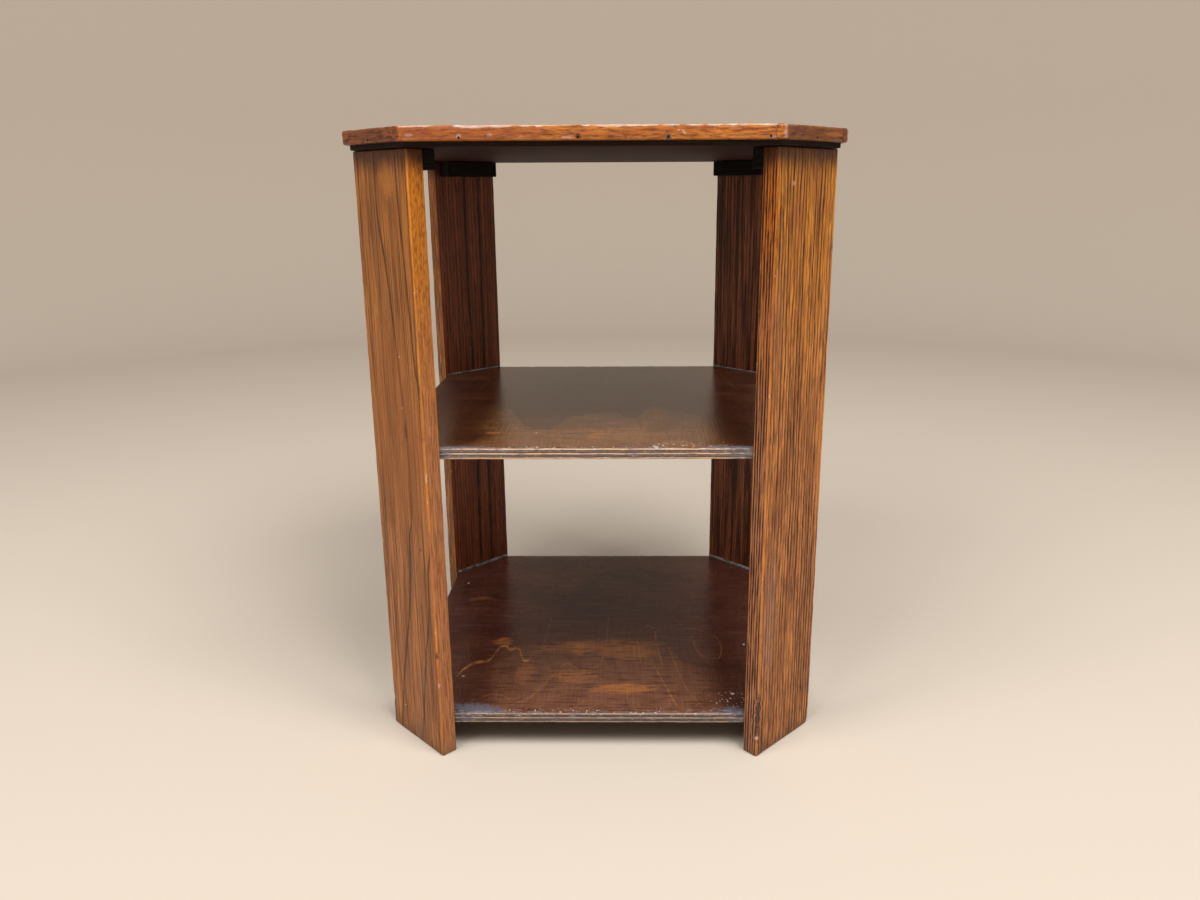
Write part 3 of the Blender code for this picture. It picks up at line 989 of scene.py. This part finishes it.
def leg_oak(corner):
    """Stained oak with growth lines up the leg, open pores along them, and arrises rubbed to orange with a
    painted highlight.
    """
    look = {**LEG_LOOK, **LEG_CHANGES.get(corner, {})}
    oak = Finish("leg oak " + corner, corner)
    end_gap = leg_half_width - oak.across.size()
    face_gap = (leg_outer - leg_inner) / 2 - (oak.depth + (leg_outer + leg_inner) / 2).size()
    arris = arris_gap(end_gap, face_gap)
    on_end = end_gap.fade(0.0016, 0.0008)
    inside = (oak.depth + leg_inner).fade(-0.0016, -0.0006)

    waver = (oak.noise((0.02, 0.02, 0.06), detail=2) - 0.5) * look["waver"]
    uneven = (oak.noise((0.011, 0.011, 0.16), detail=2) - 0.5) * look["uneven"]
    line = leg_lines(oak, look, waver, uneven, inside) * (1 - on_end)
    pores = oak.noise((0.0012, 0.0012, 0.022)).fade(0.52, 0.62) * (line * 0.4 + 0.6) * (1 - on_end)
    broad = oak.noise((0.02, 0.02, 0.12), detail=3)
    high = (oak.height + (broad - 0.5) * 0.2).fade(0.28, 0.56)
    band = oak.noise((0.0055, 0.0055, 0.16), detail=2, shift=11).fade(0.38, 0.62)
    fibre = oak.noise((0.0006, 0.0006, 0.03), detail=2)
    ragged = oak.noise((0.004, 0.004, 0.03), detail=3) - 0.5
    gaps = oak.noise((0.02, 0.02, 0.05), detail=2, shift=2).fade(0.3, 0.6) * 0.6 + 0.4
    # The orange arris line is partly rubbed wear and partly a painted highlight on the rounded arrises
    rubbed = (arris + ragged * 0.004).fade(0.0023, 0.0008) * gaps * (1 - inside)
    rubbed = rubbed * (oak.height.fade(*look["rub fade"]) * 0.7 + 0.3)
    chip = oak.noise((0.004, 0.004, 0.007), detail=2, shift=6).fade(0.70, 0.73) * arris.fade(0.0022, 0.0012)
    # Painted shade: the legs darken just under the top's overhang, standing in for its shadow
    darkening = (oak.height + ragged * 0.014).fade(leg_top - 0.026, leg_top - 0.005)
    dirt = (oak.height + (oak.noise((0.02, 0.02, 0.02), detail=3) - 0.5) * 0.05).fade(0.025, 0.0)

    colour = oak.mix(on_end, leg_face(oak, look, broad, high), leg_end(oak, look, waver, uneven, high))
    # The darker inner faces are partly stain and partly painted shade
    colour = oak.mix(inside, colour, oak.mix(band, look["inside"], look["inside pale"]))
    dark = oak.mix(inside, look["dark"], look["inside dark"])
    colour = oak.mix(line, colour, dark)
    colour = oak.mix(pores * look["pores"], colour, dark)
    colour = oak.mix(fibre.fade(0.35, 0.75) * 0.35, colour, look["fibre"], "MULTIPLY")
    colour = oak.hang_marks(colour, look["marks"], -leg_outer, 0.008)
    colour = oak.mix(rubbed * look["rub share"], colour, look["rubbed"])
    colour = oak.hang_marks(colour, look["scars"], -leg_outer, 0.004)
    colour = oak.mix(chip * 0.5, colour, PALE_CHIP)
    colour = oak.mix(dirt * 0.4, colour, FLOOR_DIRT)
    colour = oak.mix(darkening * 0.85, colour, TOP_PAINTED_SHADE)
    roughness = 0.40 + pores * 0.2 + rubbed * 0.1 + dirt * 0.2
    relief = fibre * 0.15 - pores * 0.6 - line * 0.5
    return oak.finish(colour, roughness, relief, GRAIN_RELIEF, LEG_SHEEN)


def lipping_grain(oak, look, before, on_lap):
    """Orange oak with its grain along the strip, whose lapped end has the colours of the strip before it."""
    waver = oak.noise((0.05, 0.01, 0.01), detail=2) - 0.5
    ring = ((oak.height + oak.depth * 0.6 + waver * 0.012) / 0.0042).part()
    line = ring.fade(0.5, 0.05) * oak.noise((0.03, 0.006, 0.006)).fade(0.35, 0.6)
    pores = oak.noise((0.006, 0.0009, 0.0009)).fade(0.54, 0.64) * (line * 0.7 + 0.3)
    fibre = oak.noise((0.014, 0.0005, 0.0005), detail=2)
    broad = oak.noise((0.05, 0.02, 0.012), detail=3).fade(0.3, 0.7)
    mottle = oak.noise((0.011, 0.005, 0.0024), detail=3).fade(0.44, 0.64)
    colour = oak.mix(broad, look["orange"], look["red"])
    colour = oak.mix(on_lap, colour, oak.mix(broad, before["orange"], before["red"]))
    dark = oak.mix(on_lap, look["dark"], before["dark"])
    colour = oak.mix(mottle * look["mottle"], colour, dark)
    colour = oak.mix(line * 0.3, colour, dark)
    colour = oak.mix(pores * 0.7, colour, look["pore"])
    colour = oak.mix(fibre.fade(0.4, 0.75) * 0.3, colour, look["dark"], "MULTIPLY")
    return colour, mottle, pores, fibre


def lipping_oak(side):
    """Oak lipping, bruised, rubbed along its arrises, and worn pale along the upper one with a painted
    highlight.
    """
    look = {**LIPPING_LOOK, **LIPPING_CHANGES.get(side, {})}
    before = {**LIPPING_LOOK, **LIPPING_CHANGES.get(SIDES[SIDES.index(side) - 1], {})}
    oak = Finish("lipping oak " + side, side)
    outer = reach("lipping_" + side, side, FRONT)
    lap_way = turned(FRONT, "front_left")
    lap = reach("lipping_" + side, side, lap_way)
    out_gap = oak.depth + outer
    lap_gap = lap - (oak.across * lap_way.x + oak.depth * lap_way.y)
    upper = arris_gap(panel_top - oak.height, out_gap)
    lower = arris_gap(oak.height - lipping_low, out_gap)

    ragged = oak.noise((0.010, 0.003, 0.003), detail=4) - 0.5
    worn_width = oak.across.follow(look["worn width"])
    worn = ((upper + ragged * 0.004) / worn_width).fade(1.0, 0.6)
    rubbed = (lower.least(upper) + ragged * 0.008).fade(0.0045, 0.001)
    upright = (arris_gap(lap_gap, out_gap) + ragged * 0.004).fade(0.0024, 0.0008)
    bruise = oak.noise((0.006, 0.004, 0.0025), detail=2, shift=5).fade(0.68, 0.74)

    colour, mottle, pores, fibre = lipping_grain(oak, look, before, lap_gap.fade(0.0012, 0.0006))
    colour = oak.mix(rubbed * look["rub share"], colour, look["rubbed"])
    colour = oak.mix(bruise * look["bruises"], colour, BRUISE)
    colour = oak.hang_marks(colour, look["marks"], 0, FAR)
    # The pale upper arris is partly wear and partly a painted highlight
    colour = oak.mix(worn * look["worn"], colour, oak.mix(mottle, WORN_PALE, PALE_WEAR_AND_HIGHLIGHT))
    colour = oak.mix(upright * look["upright"], colour, WORN_PALE)
    roughness = 0.38 + pores * 0.2 + worn * 0.2 + bruise * 0.2
    relief = fibre * 0.15 - pores - bruise * 0.5
    return oak.finish(colour, roughness, relief, GRAIN_RELIEF, LIPPING_SHEEN)


def panel_veneer():
    """Oak veneer on the top, with its grain from side to side."""
    oak = Finish("top veneer")
    drift = oak.noise((0.5, 0.12, 1), detail=2) - 0.5
    uneven = oak.noise((0.25, 0.016, 1)) - 0.5
    ring = ((oak.depth + drift * 0.09 + uneven * 0.012) / 0.0085).part()
    line = ring.fade(0.4, 0.03).most(ring.fade(0.94, 1.0)) * oak.noise((0.12, 0.02, 1)).fade(0.25, 0.6)
    pores = oak.noise((0.022, 0.0010, 1)).fade(0.53, 0.63) * (line * 0.85 + 0.15)
    fibre = oak.noise((0.03, 0.0006, 1), detail=2)
    broad = oak.noise((0.22, 0.07, 1), detail=2).fade(0.3, 0.7)
    scuff = oak.noise((0.03, 0.012, 1), detail=4, shift=4).fade(0.56, 0.76)
    edge = oak.depth.size().most(oak.across.size()).fade(0.17, 0.225)
    colour = oak.mix(broad, VENEER_PALE, VENEER_BROWN)
    colour = oak.mix(line * 0.45, colour, VENEER_LINE)
    colour = oak.mix(pores * 0.70, colour, VENEER_PORE)
    colour = oak.mix(fibre.fade(0.4, 0.75) * 0.3, colour, VENEER_FIBRE, "MULTIPLY")
    colour = oak.mix(scuff * edge * 0.25, colour, VENEER_RUBBED)
    roughness = 0.33 + pores * 0.2 + scuff * 0.2
    return oak.finish(colour, roughness, fibre * 0.15 - pores - line * 0.1, FINE_RELIEF)


def underside_stain():
    """Rough dark plywood under the top and the shelves."""
    wood = Finish("underside stain")
    streak = wood.noise((0.06, 0.002, 0.002), detail=3)
    blotch = wood.noise((0.05, 0.04, 0.02), detail=3).fade(0.35, 0.7)
    colour = wood.mix(blotch, UNDERSIDE_RED, UNDERSIDE_DARK)
    colour = wood.mix(streak.fade(0.45, 0.7) * 0.5, colour, UNDERSIDE_STREAK)
    return wood.finish(colour, 0.5 + streak * 0.15, streak, STAIN_RELIEF, UNDERSIDE_SHEEN)


def panel_edge():
    """The blackened edge of the top panel under its lipping."""
    wood = Finish("panel edge stain")
    streak = wood.noise((0.03, 0.03, 0.0007), detail=3)
    colour = wood.mix(streak.fade(0.45, 0.7), PANEL_EDGE_BLACK, PANEL_EDGE_STREAK)
    return wood.finish(colour, 0.7 + streak * 0.15, streak, STAIN_RELIEF, PANEL_EDGE_SHEEN)


def shelf_stain(wood, look, side, broad):
    """Dark stain with a faint looping figure, worn warmer towards the front."""
    swell = wood.noise((0.12, 0.20, 1), detail=1, shift=look["shift"])
    figure = (swell * 9).part()
    contour = (figure - 0.5).size().fade(0.04, 0.0) * wood.noise((0.04, 0.04, 1), shift=1).fade(0.42, 0.62)
    front = (wood.depth + (broad - 0.5) * 0.10).fade(look["wear start"], -side)
    aside = (wood.across + (broad - 0.5) * 0.04).size()
    middle = aside.fade(look["worn width"] + 0.03, look["worn width"]) * 0.85 + 0.15
    ripple = (wood.noise((0.010, 0.008, 1), detail=3, shift=4) - 0.5) * 0.014
    worn = (wood.depth + ripple - wood.across.follow(look["worn edge"])).fade(0.003, -0.005)
    colour = wood.mix(broad.fade(0.36, 0.64), look["dark"], look["mid"])
    colour = wood.mix(front * middle * look["warm share"], colour, look["warm"])
    colour = wood.mix(worn * middle * look["worn share"], colour, AMBER)
    colour = wood.mix(figure.fade(0.1, 0.9) * 0.3, colour, look["mid"])
    colour = wood.lay_marks(colour, look["patches"], (0.016, 0.005, 1), 0.5)
    return wood.mix(contour * 0.12, colour, look["line"])


def shelf_face(name):
    """Dark stained rotary-cut veneer: drawn grain lines, fibres, scuffs, and a rim worn grey."""
    look = SHELF_LOOKS[name]
    wood = Finish(name + " face")
    side = reach(name, "front", FRONT)
    fibre = wood.noise((0.0009, 0.05, 1), detail=3)
    cross = wood.noise((0.045, 0.0030, 1), detail=2).fade(0.46, 0.64)
    broad = wood.noise((0.08, 0.05, 1), detail=3, shift=2)
    broken = wood.noise((0.012, 0.008, 1), detail=2, shift=5).fade(0.3, 0.6)
    glint = wood.noise(look["glint size"], detail=3, shift=12).fade(0.50, 0.68)
    rim_wear = wood.noise((0.012, 0.004, 1), detail=4, shift=7)
    near_corner = wood.across.size().fade(0.09, 0.14)
    rim = (wood.depth + side + (rim_wear - 0.5) * 0.036).fade(0.006, 0.0) * (near_corner * 0.6 + 0.4)
    speck = wood.noise((0.0024, 0.0036, 1), shift=9).fade(0.66, 0.70)
    by_leg = wood.across.size().fade(0.135, 0.185)

    colour = shelf_stain(wood, look, side, broad)
    ways = {"lines": (wood.depth, wood.across), "long lines": (wood.across, wood.depth)}
    for kind, (place, along) in ways.items():
        for width, share, points in look[kind]:
            drawn = place.stroke(along, points, width) * broken
            colour = wood.mix(drawn * share, colour, look["line"])
    colour = wood.mix(glint * look["glint"], colour, look["warm"])
    colour = wood.mix(fibre.fade(0.42, 0.68) * look["fibre"], colour, SHELF_FIBRE, "MULTIPLY")
    colour = wood.mix(cross * broken * look["cross"], colour, look["dark"])
    colour = wood.lay_marks(colour, look["scuffs"], (0.004, 0.003, 1), 0.4)
    colour = wood.mix(rim * 0.65, colour, SCUFF)
    for place, radii in look["specks"]:
        zone = wood.oval((*place, 0), (*radii, FAR), (0, 0, 0)).fade(1.0, 0.3)
        colour = wood.mix(speck * zone * 0.85, colour, SPECK)
    roughness = 0.15 + fibre * 0.07 + rim * 0.25 + broad * 0.06 + by_leg * 0.3
    relief = fibre * 0.3 + cross * 0.05 - rim * 0.3
    return wood.finish(colour, roughness, relief, STAIN_RELIEF, look["sheen"])


def ply_edge(name):
    """The edge of a plywood shelf: plies between dark glue lines, scuffed grey at its corners."""
    look = SHELF_LOOKS[name]
    low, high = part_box(name)
    wood = Finish(name + " edge")
    waver = (wood.noise((0.03, 0.03, 1), detail=2) - 0.5) * 0.0007
    ply = (wood.height - low.z + waver) / ((high.z - low.z) / PLIES)
    glue = (ply.part() - 0.5).size().fade(0.26, 0.46)
    cross_ply = (ply * 0.5).part().fade(0.46, 0.54)
    streak = wood.noise((0.016, 0.016, 0.0006), detail=3)
    golden = wood.noise((0.03, 0.03, 0.004), detail=2, shift=2).fade(0.5, 0.64)
    blot = wood.noise((0.010, 0.010, 0.003), detail=3)
    corner = wood.across.size().least(wood.depth.size()).fade(0.115, 0.145)
    grey = (blot + corner * 0.24).fade(0.56, 0.70)
    chip = wood.noise((0.004, 0.004, 0.0012), detail=2, shift=4).fade(0.60, 0.68)
    upper = (high.z - wood.height).fade(0.0045, 0.001)
    colour = wood.mix(streak.fade(0.3, 0.7), look["ply"], look["ply dark"])
    colour = wood.mix(golden * 0.6, colour, look["ply gold"])
    colour = wood.mix(cross_ply * 0.85, colour, look["cross ply"])
    colour = wood.mix(glue * 0.95, colour, PLY_GLUE)
    colour = wood.mix(blot.fade(0.52, 0.68) * 0.5, colour, PLY_BLOT)
    colour = wood.mix(grey * 0.70, colour, wood.mix(corner * blot.fade(0.40, 0.56), SCUFF, DARK_SCUFF))
    colour = wood.mix(chip * (upper * 0.5 + 0.3), colour, SPECK)
    return wood.finish(colour, 0.5 + streak * 0.2, streak - glue * 0.5, STAIN_RELIEF)


def old_glue():
    """Greyed glue and dust."""
    glue = Finish("old glue")
    darkening = glue.noise((0.006, 0.006, 0.003), detail=3)
    colour = glue.mix(darkening.fade(0.36, 0.62), GLUE_GREY, GLUE_DIRT)
    return glue.finish(colour, 0.6 + darkening * 0.2, darkening, GRAIN_RELIEF)


def cleat_stain():
    wood = Finish("cleat stain")
    streak = wood.noise((0.03, 0.03, 0.002), detail=3)
    colour = wood.mix(streak.fade(0.4, 0.7), CLEAT_BLACK, CLEAT_STREAK)
    return wood.finish(colour, 0.6 + streak * 0.2, streak, COARSE_RELIEF, CLEAT_SHEEN)


def old_steel():
    metal = Finish("old steel")
    rust = metal.noise((0.0016, 0.0016, 0.0016), detail=3).fade(0.45, 0.65)
    colour = metal.mix(rust, STEEL_GREY, STEEL_RUST)
    metal.feed(metal.shader.inputs["Metallic"], 0.8 - rust * 0.7)
    return metal.finish(colour, 0.45 + rust * 0.35, rust, FINE_RELIEF, STEEL_SHEEN)


def dowel_beech():
    wood = Finish("dowel beech")
    fleck = wood.noise((0.0008, 0.0008, 0.004), detail=2)
    colour = wood.mix(fleck.fade(0.4, 0.65), BEECH_PALE, BEECH_BROWN)
    return wood.finish(colour, 0.55 + fleck * 0.15, fleck, FINE_RELIEF)


# Pieces


def blank_leg():
    """A leg board across the front, with rounded arrises and rows of faces fine enough to wear."""
    low = Vector((-leg_half_width, -leg_outer, 0))
    high = Vector((leg_half_width, -leg_inner, leg_top))
    leg = block("blank_leg", low, high)
    bpy.ops.mesh.select_all(action="SELECT")
    bpy.ops.mesh.bevel(offset=LEG_ARRIS, segments=LEG_ARRIS_STEPS, affect="EDGES")
    divide(UP, leg_half_width, leg_top, LEG_ROW)
    divide(ACROSS, leg_half_width, 2 * leg_half_width, LEG_COLUMN)
    bpy.ops.object.mode_set(mode="OBJECT")
    faces = [(ACROSS, leg_half_width), (-ACROSS, leg_half_width), (FRONT, leg_outer)]
    faces += [(-FRONT, -leg_inner), (UP, leg_top), (-UP, 0)]
    mark_arrises(leg, faces, LEG_ARRIS)
    return leg


def make_legs():
    blank = blank_leg()
    for corner in CORNERS:
        leg = copy_round(blank, "oak_leg_" + corner, corner)
        rub(leg, *LEG_WEAR)
        for end, height, push, size in LEG_DENTS[corner]:
            place = turned((end * leg_half_width, -leg_outer, height), corner)
            dent(leg, place, turned((-end * push, push, 0), corner), size)
        hand_in(leg, "leg_" + corner, "leg_oak", leg_oak(corner))
    bpy.data.objects.remove(blank)


def blank_strip(side):
    """A lipping strip across the front. Its left end laps the strip before it; its right end stops
    behind the strip after it."""
    node = "lipping_" + side
    outer = reach(node, side, FRONT)
    inner = -reach(node, side, -FRONT)
    lap_way = turned(FRONT, "front_left")
    stop_way = turned(FRONT, "front_right")
    lap = reach(node, side, lap_way)
    stop = reach(node, side, stop_way)
    strip = block("blank_strip", (-outer, -outer, lipping_low), (outer, -inner, panel_top))
    for way, distance in ((lap_way, lap), (stop_way, stop)):
        bpy.ops.mesh.select_all(action="SELECT")
        bpy.ops.mesh.bisect(plane_co=way * distance, plane_no=way, use_fill=True, clear_outer=True)

    def shown(edge):
        on_face = all(abs(vert.co.dot(FRONT) - outer) < TOUCHING for vert in edge.verts)
        on_lap = all(abs(vert.co.dot(lap_way) - lap) < TOUCHING for vert in edge.verts)
        upright = runs(edge, UP, 0)
        return (on_face and on_lap) if upright else (on_face or on_lap)

    pick("EDGE", shown)
    bpy.ops.mesh.bevel(offset=LIPPING_ARRIS, segments=ARRIS_STEPS, affect="EDGES")
    length = max(vert.co.x for vert in bmesh.from_edit_mesh(strip.data).verts) * 2
    divide(ACROSS, length / 2, length, LIPPING_ROW)
    divide(UP, LIPPING_TALL_EDGE, panel_top - lipping_low, LIPPING_TALL_ROW)
    bpy.ops.object.mode_set(mode="OBJECT")
    faces = [(FRONT, outer), (lap_way, lap), (UP, panel_top), (-UP, -lipping_low)]
    mark_arrises(strip, faces, LIPPING_ARRIS)
    return strip


def drill(piece, place):
    """Drills the hole of a panel pin into the front of a piece."""
    bpy.ops.object.select_all(action="DESELECT")
    bpy.ops.mesh.primitive_cylinder_add(
        vertices=PIN_HOLE_FACETS,
        radius=PIN_HOLE_RADIUS,
        depth=2 * PIN_HOLE_DEPTH,
        location=place,
        rotation=(math.pi / 2, 0, 0),
    )
    bit = bpy.context.object
    make_active(piece)
    hole = piece.modifiers.new("hole", "BOOLEAN")
    hole.operation = "DIFFERENCE"
    hole.object = bit
    bpy.ops.object.modifier_apply(modifier=hole.name)
    bpy.data.objects.remove(bit)


def blank_pin(place):
    """A panel pin with a shallow domed head, at the bottom of its hole in the front of a strip."""
    length = PIN_HOLE_DEPTH - PIN_SUNK
    bpy.ops.object.select_all(action="DESELECT")
    bpy.ops.mesh.primitive_cylinder_add(
        vertices=PIN_FACETS,
        radius=PIN_RADIUS,
        depth=length,
        location=Vector(place) - FRONT * (PIN_SUNK + length / 2 - TOUCHING),
        rotation=(math.pi / 2, 0, 0),
    )
    pin = bpy.context.object
    bpy.ops.object.transform_apply()
    bpy.ops.object.mode_set(mode="EDIT")
    pick("FACE", lambda face: face.normal.dot(FRONT) > FACING)
    bpy.ops.mesh.inset(thickness=PIN_DOME_INSET)
    bpy.ops.transform.translate(value=FRONT * PIN_DOME_RISE)
    bpy.ops.object.mode_set(mode="OBJECT")
    return pin


def make_pins(steel):
    """The panel pins that hold the lipping, punched below its face."""
    for kind, pins in PINS.items():
        outer = reach("lipping_" + kind[0], kind[0], FRONT)
        for letter, along in zip(PIN_LETTERS, pins):
            blank = blank_pin((along, -outer, lipping_low + PIN_RISE))
            for side in kind:
                pin = copy_round(blank, f"lipping_pin_{side}_{letter}", side)
                hand_in(pin, None, "screw_steel", steel)
            bpy.data.objects.remove(blank)


def make_lipping():
    for kind, pins in PINS.items():
        blank = blank_strip(kind[0])
        outer = reach("lipping_" + kind[0], kind[0], FRONT)
        for along in pins:
            drill(blank, (along, -outer, lipping_low + PIN_RISE))
        for side in kind:
            strip = copy_round(blank, "oak_lipping_" + side, side)
            rub(strip, *LIPPING_WEAR)
            hand_in(strip, "lipping_" + side, "lipping_oak", lipping_oak(side))
        bpy.data.objects.remove(blank)


def octagon_block(name, node):
    """A board with cut corners, from the reach of a node to its sides and its corners."""
    low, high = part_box(node)
    board = block(name, low, high)
    half = reach(node, "front", FRONT)
    cut = 2 * half - math.sqrt(2) * reach(node, "front_right", FRONT)
    pick("EDGE", lambda edge: runs(edge, UP, 0))
    bpy.ops.mesh.bevel(offset=cut, segments=1, affect="EDGES")
    return board, low, high


def level_edges(height):
    """A test for the edges that lie at one height."""
    return lambda edge: all(abs(vert.co.z - height) < TOUCHING for vert in edge.verts)


def sort_faces(board):
    """Gives a board's edge its first finish, its upper face the second and its underside the third."""
    for face in board.data.polygons:
        face.material_index = 1 if face.normal.z > FACING else 2 if face.normal.z < -FACING else 0


def make_panel(underside):
    panel, low, _ = octagon_block("oak_top_panel", "top_panel")
    pick("EDGE", level_edges(low.z))
    bpy.ops.mesh.bevel(offset=PANEL_ARRIS, segments=PANEL_ARRIS_STEPS, affect="EDGES")
    bpy.ops.object.mode_set(mode="OBJECT")
    hand_in(panel, "top_panel", "top_plywood", panel_edge(), panel_veneer(), underside)
    sort_faces(panel)


def step_plies(low, high):
    """Cuts a shelf's edge into its plies, and sets every second one back a little."""
    ply = (high.z - low.z) / PLIES
    for step in range(1, PLIES):
        bpy.ops.mesh.select_all(action="SELECT")
        bpy.ops.mesh.bisect(plane_co=(0, 0, low.z + step * ply), plane_no=UP)

    def cross_ply(face):
        step = (face.calc_center_median().z - low.z) / ply
        return abs(face.normal.z) < UPRIGHT and int(step) % 2 == 1

    pick("FACE", cross_ply)
    bpy.ops.mesh.extrude_region_shrink_fatten(TRANSFORM_OT_shrink_fatten={"value": -PLY_RELIEF})


def make_shelf(node, underside):
    """A plywood shelf with rounded rims and plies set back a little in turn."""
    shelf, low, high = octagon_block("plywood_" + node, node)
    rims = level_edges(low.z), level_edges(high.z)
    pick("EDGE", lambda edge: any(rim(edge) for rim in rims))
    bpy.ops.mesh.bevel(offset=SHELF_ARRIS, segments=ARRIS_STEPS, affect="EDGES")
    step_plies(low, high)
    half = reach(node, "front", FRONT)
    corner = reach(node, "front_right", FRONT)
    corner_length = 2 * (math.sqrt(2) * half - corner)
    side_length = 2 * half - math.sqrt(2) * corner_length
    for step, side in enumerate(SIDES[:4]):
        length = corner_length if step % 2 else side_length
        divide(turned(ACROSS, side), corner_length / 2, length, SHELF_ROW)
    bpy.ops.object.mode_set(mode="OBJECT")
    faces = [(turned(FRONT, side), reach(node, side, FRONT)) for side in SIDES]
    mark_arrises(shelf, [*faces, (UP, high.z), (-UP, -low.z)], SHELF_ARRIS)
    rub(shelf, *SHELF_WEAR)
    for across, push, size in SHELF_DENTS[node]:
        dent(shelf, Vector((across, -half, high.z)), Vector((0, push, -push)), size)
    hand_in(shelf, node, "shelf_plywood", ply_edge(node), shelf_face(node), underside)
    sort_faces(shelf)


def blank_bead(node, depth, height):
    """A bead of glue along the inner face of a leg at the front, rounded along its free edge."""
    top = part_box(node)[1].z
    half = math.sqrt(2) * reach(node, "front", FRONT) - reach(node, "front_right", FRONT)
    back = -leg_inner + TOUCHING
    bead = block("blank_bead", (-half, back, top + TOUCHING), (half, back + depth, top + height))
    outermost = back + depth + top + height - TOUCHING

    def free_edge(edge):
        return runs(edge, ACROSS, half) and all(vert.co.y + vert.co.z > outermost for vert in edge.verts)

    pick("EDGE", free_edge)
    bpy.ops.mesh.bevel(offset=GLUE_ROUNDING * height, segments=GLUE_STEPS, affect="EDGES")
    divide(ACROSS, half, 2 * half, GLUE_ROW)
    bpy.ops.object.mode_set(mode="OBJECT")
    free = bead.vertex_groups.new(name="arris")
    for vert in bead.data.vertices:
        if vert.co.y > back + TOUCHING and vert.co.z > top + 2 * TOUCHING:
            free.add([vert.index], 1.0, "REPLACE")
    return bead


def make_glue():
    """Uneven beads of old glue where the shelves meet the legs."""
    finish = old_glue()
    for node, (depth, height) in GLUE.items():
        blank = blank_bead(node, depth, height)
        for corner in CORNERS:
            bead = copy_round(blank, f"glue_{node}_{corner}", corner)
            rub(bead, GLUE_WEAR * height, GLUE_PATCH)
            hand_in(bead, None, "shelf_plywood", finish)
        bpy.data.objects.remove(blank)


def dress_fittings(steel):
    """The cleats, screws and dowels keep the frame's own shapes, and get their finishes."""
    finishes = {"cleat": cleat_stain(), "screw": steel, "dowel": dowel_beech()}
    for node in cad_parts:
        for word, material in finishes.items():
            if word in node:
                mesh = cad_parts[node].data
                mesh.materials.clear()
                mesh.materials.append(material)


set_view()
light_room()
round_floor()
make_legs()
make_lipping()
steel = old_steel()
make_pins(steel)
underside = underside_stain()
make_panel(underside)
for shelf_node in SHELF_LOOKS:
    make_shelf(shelf_node, underside)
make_glue()
dress_fittings(steel)
